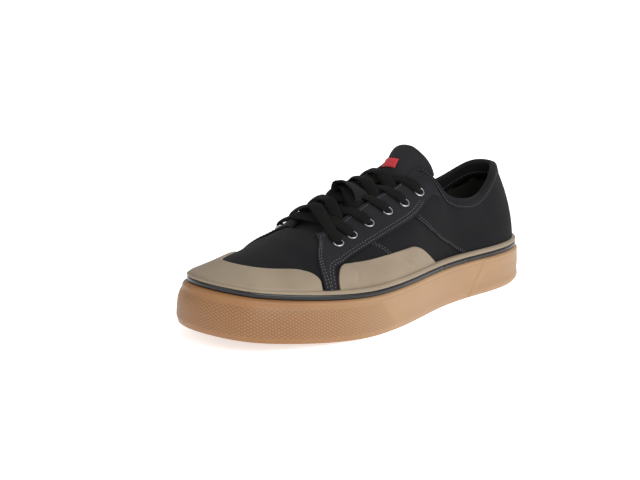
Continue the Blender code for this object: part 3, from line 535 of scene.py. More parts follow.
def wrapped(u, past, lift):
    """Points a distance off the skin. past is the way beyond the rim, below zero on the outer
    face; beyond the rim the skin turns round the wall's edge and runs down its inner face."""
    u, past, lift = np.broadcast_arrays(*(np.asarray(value, float) for value in (u, past, lift)))
    size = girth(u)
    radius = WALL / 2.0 + lift
    turn = math.pi * radius
    v = 1.0 + np.where(past < 0.0, past, np.minimum(turn - past, 0.0)) / size
    base = skin(u, v)
    normal = skin_normal(u, v)
    rim_way = unit(skin(u, 1.0) - skin(u, NEAR_RIM))
    angle = np.clip(past / radius, 0.0, math.pi)[..., None]
    base = base + normal * creases(base)[..., None]
    middle = base - normal * WALL / 2.0
    return middle + radius[..., None] * (normal * np.cos(angle) + rim_way * np.sin(angle))


def below(u, depth):
    """How far past the rim a place lies that is a height above the strips."""
    return depth - girth(u)


print("creases:", len(CREASES))

# %% [markdown]
# Most pieces of a shoe are sheets that were cut flat and then pulled over the last. They
# are made the same way here: one of the bmesh operators draws a flat grid, its points are
# moved to their places on the shoe, and the lengths along the sheet become its UV map, in
# metres, so that a weave keeps its true size. Seams are then merged.

# %% Sheets from grids
made = {}


def finish(name, mesh, paints, nodes=(), smooth=50.0):
    """Object at the origin that rides on the shoe."""
    for paint in paints:
        mesh.materials.append(paint)
    mesh.shade_smooth()
    mesh.set_sharp_from_angle(angle=math.radians(smooth))
    thing = bpy.data.objects.new(name, mesh)
    bpy.context.scene.collection.objects.link(thing)
    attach(thing, "root")
    if nodes:
        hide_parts(*nodes)
    made[name] = len(mesh.loop_triangles) or sum(len(face.vertices) - 2 for face in mesh.polygons)
    return thing


def laid(name, points, attributes=(), inner_from=None, close=""):
    """Mesh of a grid whose points go to the places given, row by row."""
    columns, rows = points.shape[1] - 1, points.shape[0] - 1
    body = bmesh.new()
    body.loops.layers.uv.new("UVMap")
    bmesh.ops.create_grid(body, x_segments=columns, y_segments=rows, size=0.5, calc_uvs=True)
    mesh = bpy.data.meshes.new(name)
    body.to_mesh(mesh)
    body.free()
    mesh.vertices.foreach_set("co", np.ascontiguousarray(points, np.float32).ravel())
    step_across = np.linalg.norm(np.diff(points, axis=1), axis=2).mean(axis=0)
    step_along = np.linalg.norm(np.diff(points, axis=0), axis=2).mean(axis=1)
    run_across = np.concatenate([[0.0], np.cumsum(step_across)])
    run_along = np.concatenate([[0.0], np.cumsum(step_along)])
    corner = np.zeros(len(mesh.loops), np.int32)
    mesh.loops.foreach_get("vertex_index", corner)
    flat = np.column_stack([run_across[corner % (columns + 1)], run_along[corner // (columns + 1)]])
    mesh.uv_layers[0].data.foreach_set("uv", flat.astype(np.float32).ravel())
    for label, values in attributes:
        store = mesh.attributes.new(label, "FLOAT", "POINT")
        store.data.foreach_set("value", np.ascontiguousarray(values, np.float32).ravel())
    if inner_from is not None:
        rows_of_faces = np.arange(len(mesh.polygons)) // columns
        mesh.polygons.foreach_set("material_index", (rows_of_faces >= inner_from).astype(np.int32))
    body = bmesh.new()
    body.from_mesh(mesh)
    bmesh.ops.remove_doubles(body, verts=body.verts, dist=2e-6)
    bmesh.ops.dissolve_degenerate(body, edges=body.edges, dist=1e-7)
    open_edges = [edge for edge in body.edges if edge.is_boundary]
    if close == "bridge":
        bmesh.ops.bridge_loops(body, edges=open_edges)
    if close == "fill":
        bmesh.ops.holes_fill(body, edges=open_edges, sides=0)
    bmesh.ops.recalc_face_normals(body, faces=body.faces)
    body.to_mesh(mesh)
    body.free()
    return mesh


def stops(*pieces):
    """Stops from 0 to 1 in stretches, each given as its share and its count."""
    total = sum(share for share, _ in pieces)
    found = [0.0]
    for share, count in pieces:
        found += list(found[-1] + np.arange(1, count + 1) * share / total / count)
    found[-1] = 1.0
    return np.array(found)


def spaced(pitch, first=0.0, last=1.0):
    """Places round the shoe whose distance in metres follows pitch(u)."""
    fine = np.linspace(first, last, 6001)
    steps = 1.0 / pitch((fine[1:] + fine[:-1]) / 2.0)
    count = np.concatenate([[0.0], np.cumsum(steps * np.diff(fine) * EDGE_LENGTH)])
    return np.interp(np.linspace(0.0, count[-1], int(round(count[-1])) + 1), count, fine)


def quarter_round(distance, radius):
    """Rises from 0 to 1 as a quarter of an ellipse."""
    near = np.clip(distance / radius, 0.0, 1.0)
    return np.sqrt(1.0 - (1.0 - near) ** 2)


def grid_normals(grid):
    first = np.gradient(grid, axis=0)
    second = np.gradient(grid, axis=1)
    return unit(np.cross(first, second))


def upward(normal):
    return normal if normal[..., 2].mean() > 0 else -normal


def pillow(name, across, along, face, thick, roundness, end_roundness):
    """Padded sheet: its face and its back are bulged apart and meet at the edges."""
    grid = face(across, along)
    normal = upward(grid_normals(grid))
    side = (1.0 - np.abs(2.0 * across - 1.0) ** roundness) ** 0.5
    end = (1.0 - np.abs(2.0 * along - 1.0) ** end_roundness) ** 0.5
    half = thick / 2.0 * side[None, :] * end[:, None]
    outer = grid + normal * half[..., None]
    inner = grid - normal * half[..., None]
    both = np.concatenate([outer, inner[:, -2::-1]], axis=1)
    return laid(name, both)


print("columns 5 mm apart round the shoe:", len(spaced(lambda place: np.full_like(place, 0.005))))

# %% [markdown]
# A material is a graph of nodes, and wiring one by hand is long. A small class wraps a
# socket, so that sums and products of values are written as plain expressions, and one
# method adds any other node. Colours go through Mix nodes.

# %% Values and nodes


class Value:
    """A socket that can be used in sums."""

    def __init__(self, paint, socket):
        self.paint = paint
        self.socket = socket

    def math(self, operation, first, second=0.0):
        sum_node = self.paint.node("ShaderNodeMath", {"operation": operation}, {0: first, 1: second})
        return Value(self.paint, sum_node.outputs[0])

    def __add__(self, other):
        return self.math("ADD", self, other)

    def __radd__(self, other):
        return self.math("ADD", other, self)

    def __sub__(self, other):
        return self.math("SUBTRACT", self, other)

    def __rsub__(self, other):
        return self.math("SUBTRACT", other, self)

    def __mul__(self, other):
        return self.math("MULTIPLY", self, other)

    def __rmul__(self, other):
        return self.math("MULTIPLY", other, self)

    def __truediv__(self, other):
        return self.math("DIVIDE", self, other)

    def sine(self):
        return self.math("SINE", self)

    def size(self):
        return self.math("ABSOLUTE", self)

    def clamp(self):
        return self.math("MINIMUM", self.math("MAXIMUM", self, 0.0), 1.0)


class Paint:
    """A material with one Principled shader."""

    def __init__(self, name):
        self.material = bpy.data.materials.new(name)
        self.material.use_nodes = True
        self.tree = self.material.node_tree
        self.shader = self.tree.nodes["Principled BSDF"]
        self.places = self.node("ShaderNodeTexCoord", {}, {})

    def node(self, kind, settings, inputs):
        """A node with its settings and the values or links of its sockets."""
        added = self.tree.nodes.new(kind)
        for key, value in settings.items():
            setattr(added, key, value)
        for key, value in inputs.items():
            self.feed(added.inputs[key], value)
        return added

    def feed(self, socket, value):
        if isinstance(value, Value):
            self.tree.links.new(value.socket, socket)
        else:
            socket.default_value = value

    def place(self):
        """Object coordinates in metres."""
        return Value(self, self.places.outputs["Object"])

    def flat(self):
        """The sheet's own lengths in metres, across and along."""
        split = self.node("ShaderNodeSeparateXYZ", {}, {0: Value(self, self.places.outputs["UV"])})
        return Value(self, split.outputs[0]), Value(self, split.outputs[1])

    def axis(self, index):
        split = self.node("ShaderNodeSeparateXYZ", {}, {0: self.place()})
        return Value(self, split.outputs[index])

    def attribute(self, name):
        found = self.node("ShaderNodeAttribute", {"attribute_name": name}, {})
        return Value(self, found.outputs["Fac"])

    def noise(self, per_metre, detail=3.0, rough=0.55):
        cloud = self.node("ShaderNodeTexNoise", {}, {"Vector": self.place(), "Scale": per_metre,
                                                     "Detail": detail, "Roughness": rough})
        return Value(self, cloud.outputs[0])

    def mix(self, share, first, second):
        mixed = self.node("ShaderNodeMix", {"data_type": "RGBA"}, {0: share, 6: first, 7: second})
        return Value(self, mixed.outputs[2])

    def bump(self, height, distance):
        """Tilts the light on the surface as relief this deep would."""
        relief = self.node("ShaderNodeBump", {}, {"Distance": distance, "Height": height})
        self.feed(self.shader.inputs["Normal"], Value(self, relief.outputs[0]))

    def put(self, **inputs):
        """Sets the shader's sockets, named with _ for each space."""
        for key, value in inputs.items():
            self.feed(self.shader.inputs[key.replace("_", " ")], value)
        return self.material


def colour(red, green, blue):
    return (red, green, blue, 1.0)


print("a colour has four numbers, the last one opaque:", colour(0.5, 0.2, 0.1))

# %% [markdown]
# Gum rubber is natural crepe: translucent, sandy, and more orange where it is thick. Light
# catches the tips of the moulded points, and the hollows between them look darker; the
# colour paints both in, a painted highlight on the tips and painted shade over the field of
# points. The mesh carries two numbers at each point, the height of the pattern and how fully
# the pattern covers the place. The colour reads them, so the painted highlight and shade
# match the shape.

# %% Gum rubber
GUM_SIDE = (colour(0.335, 0.197, 0.098), colour(0.400, 0.240, 0.124))
GUM_TOE = (colour(0.235, 0.100, 0.028), colour(0.295, 0.130, 0.040))
# Painted highlight on the tips of the moulded points.
GUM_TIP_HIGHLIGHT = (colour(0.460, 0.290, 0.160), colour(0.390, 0.198, 0.074))
GUM_LOW_EDGE = colour(0.340, 0.135, 0.026)
# Painted shade over the field of moulded points.
GUM_HOLLOW_SHADE = colour(0.150, 0.060, 0.016)
TOE_TONE = (0.030, 0.110)


def gum_paint():
    paint = Paint("gum")
    high = (paint.axis(2) / SIDE_HEIGHT).clamp()
    toe = ((paint.axis(0) - TOE_TONE[0]) / (TOE_TONE[1] - TOE_TONE[0])).clamp()
    cloud = paint.noise(38.0, 2.0)
    base = paint.mix(toe * 0.85, paint.mix(cloud, *GUM_SIDE), paint.mix(cloud, *GUM_TOE))
    base = paint.mix((1.0 - high * 5.0).clamp() * toe * 0.8, base, GUM_LOW_EDGE)
    # Painted shade over the field of points, stronger at the toe, then a painted highlight on their tips.
    base = paint.mix(paint.attribute("field") * (0.20 + toe * 0.30), base, GUM_HOLLOW_SHADE)
    base = paint.mix(paint.attribute("relief").clamp(), base, paint.mix(toe * 0.8, *GUM_TIP_HIGHLIGHT))
    paint.bump(paint.noise(900.0, 2.0), 0.00006)
    paint.put(Base_Color=base, Roughness=0.42 + cloud * 0.18, Subsurface_Weight=0.12,
              Subsurface_Scale=0.002, Coat_Weight=0.10, Coat_Roughness=0.35)
    return paint.material


GUM = gum_paint()
print(GUM.name)

# %% [markdown]
# The thin stripe is black rubber, shiny as if wet, and the strip, cap and side patch are
# a matt grey-brown rubber with a fine cast grain and faint paler clouds. Both are plain
# Principled shaders; besides the clouds, only the roughness and a fine bump change over the
# surface, and the tan rubber is painted paler along its edges, a painted highlight.

# %% Black and tan rubber


def black_rubber_paint():
    paint = Paint("black_rubber")
    cloud = paint.noise(70.0, 3.0)
    base = paint.mix(cloud, colour(0.007, 0.007, 0.008), colour(0.018, 0.018, 0.020))
    paint.bump(paint.noise(260.0, 3.0), 0.00022)
    return paint.put(Base_Color=base, Roughness=0.22 + cloud * 0.20, Specular_IOR_Level=0.35,
                     Coat_Weight=0.10, Coat_Roughness=0.15)


def tan_rubber_paint():
    paint = Paint("tan_rubber")
    cloud = paint.noise(30.0, 3.0)
    grain = paint.noise(1500.0, 2.0)
    base = paint.mix((cloud * 1.8 - 0.4).clamp(), colour(0.215, 0.163, 0.108), colour(0.290, 0.228, 0.157))
    # Painted highlight: paler where the edge mask marks the rolled edges and the strip's lip.
    base = paint.mix(paint.attribute("edge") * 0.35, base, colour(0.43, 0.36, 0.27))
    paint.bump(grain, 0.00005)
    return paint.put(Base_Color=base, Roughness=0.50 + cloud * 0.16, Coat_Weight=0.06, Coat_Roughness=0.4)


BLACK_RUBBER = black_rubber_paint()
TAN_RUBBER = tan_rubber_paint()
print(BLACK_RUBBER.name, TAN_RUBBER.name)

# %% [markdown]
# Canvas is a plain weave: threads go over and under each other, so the bump is the product
# of two waves along the sheet's own lengths, about 0.6 mm apart. Suede has no weave but a
# nap of short fibres, which is fine noise with high roughness and a little sheen. Both are
# almost black, and a slow noise keeps the black from being flat. Along the edges of a sewn
# layer both are painted near black, a painted shadow under the edge.

# %% Cloth and suede
WEAVE_PITCH = 0.00062
# Painted shadow along the edges of the cloth and suede layers.
EDGE_SHADOW = colour(0.0015, 0.0015, 0.0015)


def weave(paint, pitch):
    """Height of a plain weave, 0 to 1."""
    across, along = paint.flat()
    wave_a = (across * (math.pi / pitch)).sine()
    wave_b = (along * (math.pi / pitch)).sine()
    return wave_a * wave_b * 0.5 + 0.5


def canvas_paint(name, dark, light, pitch=WEAVE_PITCH):
    paint = Paint(name)
    threads = weave(paint, pitch)
    cloud = paint.noise(60.0, 4.0)
    fuzz = paint.noise(2600.0, 2.0)
    share = (cloud * 0.5 + threads * 0.35 + fuzz * 0.3 - 0.1).clamp()
    base = paint.mix(share, colour(*dark), colour(*light))
    # Painted shadow along the layer's edges.
    base = paint.mix(paint.attribute("edge").clamp() * 0.9, base, EDGE_SHADOW)
    paint.bump(threads * 0.7 + fuzz * 0.5, 0.00016)
    return paint.put(Base_Color=base, Roughness=0.78 + cloud * 0.15, Specular_IOR_Level=0.14,
                     Sheen_Weight=0.02, Sheen_Roughness=0.5)


def suede_paint():
    paint = Paint("suede")
    nap = paint.noise(1700.0, 4.0, 0.7)
    cloud = paint.noise(45.0, 4.0)
    base = paint.mix((nap * 0.6 + cloud * 0.7 - 0.25).clamp(), colour(0.0100, 0.0093, 0.0112),
                     colour(0.0270, 0.0255, 0.0295))
    # Painted shadow along the layer's edges.
    base = paint.mix(paint.attribute("edge").clamp() * 0.8, base, EDGE_SHADOW)
    paint.bump(nap, 0.00022)
    return paint.put(Base_Color=base, Roughness=0.92, Specular_IOR_Level=0.12, Sheen_Weight=0.05,
                     Sheen_Roughness=0.45)


CANVAS = canvas_paint("canvas", (0.0046, 0.0046, 0.0054), (0.0128, 0.0128, 0.0146))
TONGUE_CLOTH = canvas_paint("tongue_cloth", (0.0110, 0.0103, 0.0115), (0.0290, 0.0275, 0.0300))
LINING = canvas_paint("lining", (0.0090, 0.0096, 0.0074), (0.0250, 0.0262, 0.0205), 0.0008)
FOOTBED = canvas_paint("footbed", (0.0110, 0.0115, 0.0090), (0.0230, 0.0230, 0.0190), 0.0009)
SUEDE_BLACK = suede_paint()
print("cloths:", CANVAS.name, LINING.name, SUEDE_BLACK.name)

# %% [markdown]
# The lace is a flat tube of braided cotton. A braid shows as slanting ridges that lean one
# way on the left half and the other way on the right half, a herringbone, so the bump is a
# wave of the length plus the distance from the middle. The keeper is a ribbed webbing, the
# label a red satin weave, the thread a grey twist, and the eyelets are dark polished metal.

# %% Lace, webbing, label, thread and metal
LABEL_RIB = 0.0005


def lace_paint(name, pitch, slant, dark, light):
    paint = Paint(name)
    across, along = paint.flat()
    away = (across - LACE_WIDTH / 2.0).size()
    ridge = ((along + away * slant) * (2.0 * math.pi / pitch)).sine() * 0.5 + 0.5
    fuzz = paint.noise(2200.0, 3.0)
    base = paint.mix((ridge * 0.45 + fuzz * 0.6 - 0.1).clamp(), colour(*dark), colour(*light))
    paint.bump(ridge * 0.7 + fuzz * 0.5, 0.00028)
    return paint.put(Base_Color=base, Roughness=0.88, Specular_IOR_Level=0.12)


def label_paint():
    paint = Paint("label_red")
    _, along = paint.flat()
    rib = (along * (2.0 * math.pi / LABEL_RIB)).sine() * 0.5 + 0.5
    cloud = paint.noise(500.0, 2.0)
    base = paint.mix((rib * 0.4 + cloud * 0.6).clamp(), colour(0.42, 0.012, 0.020),
                     colour(0.66, 0.035, 0.045))
    paint.bump(rib, 0.0001)
    return paint.put(Base_Color=base, Roughness=0.62)


def metal_paint():
    paint = Paint("eyelet_metal")
    cloud = paint.noise(400.0, 3.0)
    base = paint.mix(cloud, colour(0.34, 0.34, 0.35), colour(0.58, 0.58, 0.59))
    return paint.put(Base_Color=base, Metallic=1.0, Roughness=0.22 + cloud * 0.14)


def thread_paint(name, dark, light):
    paint = Paint(name)
    twist = paint.noise(3200.0, 1.0)
    return paint.put(Base_Color=paint.mix(twist, colour(*dark), colour(*light)), Roughness=0.7)


LACE = lace_paint("lace", 0.0011, 0.8, (0.0030, 0.0029, 0.0028), (0.0125, 0.0122, 0.0114))
WEBBING = lace_paint("webbing", 0.0009, 0.0, (0.0070, 0.0068, 0.0072), (0.0240, 0.0232, 0.0245))
LABEL = label_paint()
METAL = metal_paint()
THREAD = thread_paint("thread", (0.045, 0.044, 0.050), (0.120, 0.118, 0.128))
DARK_THREAD = thread_paint("dark_thread", (0.036, 0.035, 0.038), (0.085, 0.083, 0.088))
# Painted shade: near black for the inside of the eyelets' holes.
HOLE_SHADE = thread_paint("eyelet_hole_shade", (0.003, 0.003, 0.003), (0.006, 0.006, 0.006))


def floor_paint():
    paint = Paint("floor")
    cloud = paint.noise(3.0, 2.0)
    return paint.put(Base_Color=paint.mix(cloud, colour(0.86, 0.86, 0.86), colour(0.89, 0.89, 0.89)),
                     Roughness=0.9, Emission_Color=colour(1.0, 1.0, 1.0), Emission_Strength=0.62)


floor.data.materials.append(floor_paint())
print("materials:", len(bpy.data.materials))

# %% [markdown]
# The sole is one moulding, but it is easiest to read as two pieces that meet inside: a
# closed ring that is the side wall and the cup, and the tread plate within it. The wall's
# profile is a spline through a few heights. At the toe and on the heel bumper the mould
# has staggered points, about 2 mm apart; the grid has its columns and rows close enough
# there to lift each point as real shape.

# %% Side wall of the sole
POINT_ACROSS = 0.00195
POINT_UP = 0.00210
POINT_HEIGHT = 0.00048
TEXTURE_TOP = 0.0228
TEXTURE_LOW = 0.0030
TEXTURE_REAR = (0.570, 0.072)
TEXTURE_FADE = 0.004
TEXTURE_LOW_FADE = 0.0012
TEXTURE_TOP_FADE = 0.0015
HEEL_TEXTURE = (0.0024, 0.0180)
HEEL_TEXTURE_FADE = 0.006
HEEL_LOW_FADE = 0.001
HEEL_TEXTURE_SHARE = 0.75
FINE_PITCH = POINT_ACROSS / 3.0
SMOOTH_PITCH = 0.0030
FINE_MARGINS = (0.010, 0.012)


def in_toe_texture(along, height):
    """1 inside the toe's textured field and 0 outside, over a soft edge."""
    edge = TEXTURE_REAR[0] + TEXTURE_REAR[1] * height / SIDE_HEIGHT
    return blend((along - edge) * LENGTH / TEXTURE_FADE)


def bumper_edge(height):
    """Share of the length where the bumper's front edge lies."""
    return BUMPER_LOW + (BUMPER_TOP - BUMPER_LOW) * height / SIDE_HEIGHT


def in_bumper(along, height):
    return 1.0 - blend((along - bumper_edge(height)) * LENGTH / BUMPER_STEP + 0.5)


def side_pitch(u):
    """Distance between the grid's columns, close where there are points."""
    along = outline(u)[2]
    toe = along > TEXTURE_REAR[0] - FINE_MARGINS[0]
    heel = along < BUMPER_LOW + FINE_MARGINS[1]
    return np.where(toe | heel, FINE_PITCH, SMOOTH_PITCH)


def wall_field(u, height):
    """1 where the side wall has moulded points, 0 where it is smooth."""
    along = outline(u)[2]
    band = blend((height - TEXTURE_LOW) / TEXTURE_LOW_FADE)
    band = band * blend((TEXTURE_TOP - height) / TEXTURE_TOP_FADE)
    heel = blend((bumper_edge(height) - along) * LENGTH / HEEL_TEXTURE_FADE - 0.4)
    heel_low, heel_top = HEEL_TEXTURE
    heel_band = blend((height - heel_low) / HEEL_LOW_FADE) * blend((heel_top - height) / TEXTURE_TOP_FADE)
    return band * in_toe_texture(along, height) + HEEL_TEXTURE_SHARE * heel * heel_band


def wall_relief(u, height):
    """Height of the moulded points, 0 to 1, on the side wall."""
    way = u * EDGE_LENGTH
    points = np.cos(math.pi * way / POINT_ACROSS) * np.cos(2.0 * math.pi * height / POINT_UP)
    return np.clip(points, 0.0, 1.0) ** 1.2 * wall_field(u, height)


RING_HEIGHTS = column(SOLE_RINGS, SOLE_RING_COLUMNS, "height")
WALL_U = spaced(side_pitch)
WALL_UP = np.concatenate([[0.0, 0.02, 0.045], np.arange(0.07, 0.99, POINT_UP / 4.0 / SIDE_HEIGHT), [1.0]])
TOP_GROOVE_UP = 0.905
TOP_GROOVE_WIDTH = 0.022
TOP_GROOVE_DEPTH = 0.0004
CUP_LAP = 0.0040
CUP_LOW = 0.0022
CUP_RINGS = 5


def sole_wall_points(u):
    """Rings up the outside of the wall, then down inside the cup and back to the first."""
    rings = []
    profile = np.column_stack([column(SOLE_RINGS, SOLE_RING_COLUMNS, key)
                               for key in SOLE_RING_COLUMNS[1:]])
    along = outline(u)[2]
    for share in WALL_UP:
        side, toe, bumper = spline(RING_HEIGHTS, profile, [share])[0]
        height = share * SIDE_HEIGHT
        push = HEEL_BUMPER * bumper * in_bumper(along, height)
        push = push + POINT_HEIGHT * wall_relief(u, height)
        groove = TOP_GROOVE_DEPTH * math.exp(-((share - TOP_GROOVE_UP) / TOP_GROOVE_WIDTH) ** 2)
        push = push - groove * (1.0 - toe_share(along))
        rings.append(inset_ring(u, side * SIDE_THICK, toe * TOE_THICK, height, push))
    rings.append(inset_ring(u, INNER_SIDE, INNER_TOE, SIDE_HEIGHT))
    rings.append(inset_ring(u, INNER_SIDE, INNER_TOE, FLOOR_THICK - 0.001))
    rings.append(inset_ring(u, INNER_SIDE + CUP_LAP, INNER_TOE + CUP_LAP, CUP_LOW))
    low_side, low_toe = profile[0, 0] * SIDE_THICK, profile[0, 1] * TOE_THICK
    rings.append(inset_ring(u, low_side + CUP_LAP, low_toe + CUP_LAP, 0.0))
    rings.append(rings[0])
    return placed(np.array(rings))


def ring_values(measure):
    """A measure at each point of the wall's rings, zero on the rings of the cup."""
    rows = [measure(WALL_U, share * SIDE_HEIGHT) for share in WALL_UP]
    return np.array(rows + [np.zeros(len(WALL_U))] * CUP_RINGS)


wall_mesh = laid("outsole_wall", sole_wall_points(WALL_U),
                 [("relief", ring_values(wall_relief)), ("field", ring_values(wall_field))])
finish("outsole_wall", wall_mesh, [GUM], ["outsole"])
print("side wall triangles:", made["outsole_wall"])

# %% [markdown]
# The photo doesn't show the tread, so it gets the common waffle of a skateboarding sole:
# slanted lozenge blocks with grooves between them and a plain rim. A grid spans the plate
# from side to side, its points are pressed up into grooves, and the edge is extruded up
# into the ring's cup to close the plate.

# %% Tread plate
TREAD_PITCH = 0.0075
TREAD_DEPTH = 0.0012
GROOVE_FLOOR = 0.0005
GROOVE_SLOPE = 0.0009
TREAD_INSET = 0.0030
TREAD_ENDS = (0.010, 0.991)
TREAD_EVEN = 0.65
TREAD_RIM = 0.0045
RIM_FADE = 0.001
TREAD_HEEL = 0.012
TREAD_TOE = 0.014
TREAD_FADE = 0.003
PLATE_HEIGHT = FLOOR_THICK - 0.002
TREAD_ALONG = 300
TREAD_ACROSS = 120


def tread_points(across, along):
    """Points of the plate's underside, pressed up along slanted grooves."""
    first, last = TREAD_ENDS
    eased = (1.0 - np.cos(along * math.pi)) / 2.0
    share = first + (last - first) * (eased * (1.0 - TREAD_EVEN) + along * TREAD_EVEN)
    share = np.clip(share, first, last)
    outer = outline(around(share, 1))[0]
    inner = outline(around(share, -1))[0]
    low = inner[..., 1] + TREAD_INSET
    high = outer[..., 1] - TREAD_INSET
    x = np.broadcast_to(share * LENGTH, (len(along), across.shape[1]))
    y = low + (high - low) * across
    room = np.minimum(y - low, high - y)
    slant_a = np.abs(((x + y) / TREAD_PITCH) % 1.0 - 0.5) * TREAD_PITCH
    slant_b = np.abs(((x - y) / TREAD_PITCH) % 1.0 - 0.5) * TREAD_PITCH
    groove = 1.0 - blend((np.minimum(slant_a, slant_b) - GROOVE_FLOOR) / GROOVE_SLOPE)
    field = blend((room - TREAD_RIM) / RIM_FADE) * blend((x - TREAD_HEEL) / TREAD_FADE)
    field = field * blend((LENGTH - TREAD_TOE - x) / TREAD_FADE)
    z = rise(x / LENGTH) + TREAD_DEPTH * groove * field
    return placed(np.stack([x, y, z], axis=-1))


tread_grid = tread_points(np.linspace(0.0, 1.0, TREAD_ACROSS + 1)[None, :],
                          np.linspace(0.0, 1.0, TREAD_ALONG + 1)[:, None])
tread_mesh = laid("outsole_tread", tread_grid)
body = bmesh.new()
body.from_mesh(tread_mesh)
rim_edges = [edge for edge in body.edges if edge.is_boundary]
grown = bmesh.ops.extrude_edge_only(body, edges=rim_edges)["geom"]
upper_edge = [item for item in grown if isinstance(item, bmesh.types.BMVert)]
bmesh.ops.translate(body, vec=(0.0, 0.0, PLATE_HEIGHT), verts=upper_edge)
bmesh.ops.holes_fill(body, edges=[edge for edge in body.edges if edge.is_boundary], sides=0)
bmesh.ops.recalc_face_normals(body, faces=body.faces)
body.to_mesh(tread_mesh)
body.free()
finish("outsole_tread", tread_mesh, [GUM])
print("tread triangles:", made["outsole_tread"])

# %% [markdown]
# Two strips of rubber are glued round the top of the cup. Each is a closed ring whose
# profile is a rounded rectangle. The black one was wrapped as a tape: its two ends meet on
# the outer side behind the patch, and a second slight kink lies further back. The tan one
# is painted paler along its lower edge, a painted highlight on its lip.

# %% Strips round the cup
STRIP_U = np.linspace(0.0, 1.0, 481)
STRIP_JOINTS = (0.379, 0.281)
JOINT_WIDTH = 0.0012
JOINT_DEPTH = 0.00045
STRIP_SUNK = 0.0002
BLACK_BULGE = 0.0006
TAN_BULGE = 0.0007
STRIP_WAVE = 0.00008


def strip_profile(bulge, steps=9):
    """Shares up the strip's face, with how far it bulges there."""
    up = np.linspace(0.0, 1.0, steps)
    out = bulge * (1.0 - np.abs(2.0 * up - 1.0) ** 3.0)
    return up, out


def strip_mesh(name, low, high, bulge, joints):
    """Closed ring round the cup, with a notch at each joint of the tape."""
    side, toe = STRIP_FACE[0] * SIDE_THICK, STRIP_FACE[1] * TOE_THICK
    along = outline(STRIP_U)[2]
    notch = np.zeros_like(STRIP_U)
    for share in joints:
        notch += np.exp(-((STRIP_U - around(share, 1)) * EDGE_LENGTH / JOINT_WIDTH) ** 2)
    wobble = STRIP_WAVE * np.sin(along * 61.0) * np.sin(along * 23.0)
    rings = [inset_ring(STRIP_U, INNER_SIDE, INNER_TOE, low)]
    for up, out in zip(*strip_profile(bulge)):
        height = low + (high - low) * up
        push = out - JOINT_DEPTH * notch + wobble - STRIP_SUNK
        rings.append(inset_ring(STRIP_U, side, toe, height, push))
    rings.append(inset_ring(STRIP_U, INNER_SIDE, INNER_TOE, high))
    rings.append(rings[0])
    # Painted highlight: the lower rows are marked so that the tan rubber paints them paler.
    lip_highlight = np.zeros((len(rings), len(STRIP_U)))
    lip_highlight[1:4] = 1.0
    return laid(name, placed(np.array(rings)), [("edge", lip_highlight)])


black_low, tan_low = SIDE_HEIGHT + GAP / 2.0, TAN_LOW + GAP / 2.0
black_mesh = strip_mesh("foxing_black_strip", black_low, TAN_LOW, BLACK_BULGE, STRIP_JOINTS)
tan_mesh = strip_mesh("foxing_tan_strip", tan_low, foot_height(STRIP_U), TAN_BULGE, ())
finish("foxing_black_strip", black_mesh, [BLACK_RUBBER], ["foxing_black"])
finish("foxing_tan_strip", tan_mesh, [TAN_RUBBER], ["foxing_tan"])
print("strips:", made["foxing_black_strip"] + made["foxing_tan_strip"])

# %% [markdown]
# The footbed is a thin sheet in the cup, slightly hollow along its middle and raised at
# its edge. Only its rear part shows through the collar, so its mesh is coarse.

# %% Footbed
FOOTBED_ALONG = 120
FOOTBED_ACROSS = 40
FOOTBED_ENDS = (0.022, 0.955)
FOOTBED_CLEAR = 0.001
FOOTBED_HOLLOW = 0.0008
FOOTBED_RAISED = 0.0010


def footbed_points():
    """Points of the footbed's top, from the heel to the toe."""
    share = 0.5 - 0.5 * np.cos(np.linspace(0.0, math.pi, FOOTBED_ALONG + 1))
    across = np.linspace(0.0, 1.0, FOOTBED_ACROSS + 1)
    along = FOOTBED_ENDS[0] + (FOOTBED_ENDS[1] - FOOTBED_ENDS[0]) * share
    insets = INNER_SIDE + WALL + FOOTBED_CLEAR, INNER_TOE + WALL + FOOTBED_CLEAR
    outer, inner = (inset_ring(around(along, side), *insets, 0.0) for side in (1, -1))
    narrow = np.clip(np.sin(share * math.pi), 0.0, 1.0) ** 0.25
    middle, half = (outer + inner) / 2.0, (outer - inner) / 2.0 * narrow[:, None]
    place = middle[:, None] + half[:, None] * (2.0 * across[None, :, None] - 1.0)
    edge = np.abs(2.0 * across - 1.0) ** 3
    place[..., 2] += FLOOR_THICK + INSOLE_THICK + GAP - FOOTBED_HOLLOW + FOOTBED_RAISED * edge[None, :]
    return placed(place)


top_face = footbed_points()
low_face = top_face.copy()
low_face[..., 2] -= INSOLE_THICK - GAP
footbed_grid = np.concatenate([top_face, low_face[:, ::-1], top_face[:, :1]], axis=1)
finish("footbed", laid("footbed", footbed_grid, close="fill"), [FOOTBED], ["insole"])
print("footbed triangles:", made["footbed"])

# %% [markdown]
# The upper's wall is one closed sheet: up the outer face, round the rim and down the lining
# to the footbed. It follows the skin and its creases, so it stays hollow and open at the
# collar and the throat. The lining is another cloth on the same wall, from the rim inwards.

# %% Wall of the upper
WALL_COLUMN_PITCH = 0.00115
WALL_ROWS = 66
RIM_ROWS = 8
LINING_ROWS = 26
SKIRT = TAN_LOW - FLOOR_THICK


def upper_points():
    """Points up the outer face, over the rim and down the lining, and the lining's first row."""
    u = spaced(lambda place: np.full_like(place, WALL_COLUMN_PITCH))
    size = girth(u)
    outside = [-size - SKIRT, -size - SKIRT * 0.5]
    outside += [-size * (1.0 - v) for v in np.linspace(0.0, 1.0, WALL_ROWS)]
    turn = math.pi * WALL / 2.0
    rim = [np.full_like(u, turn * share) for share in np.linspace(0.0, 1.0, RIM_ROWS)[1:]]
    inside = [turn + size * share for share in np.linspace(0.0, 1.0, LINING_ROWS)[1:]]
    inside += [turn + size + SKIRT * 0.5, turn + size + SKIRT]
    past = np.array(outside + rim + inside)
    return placed(wrapped(u[None, :], past, 0.0)), len(outside) + RIM_ROWS // 2


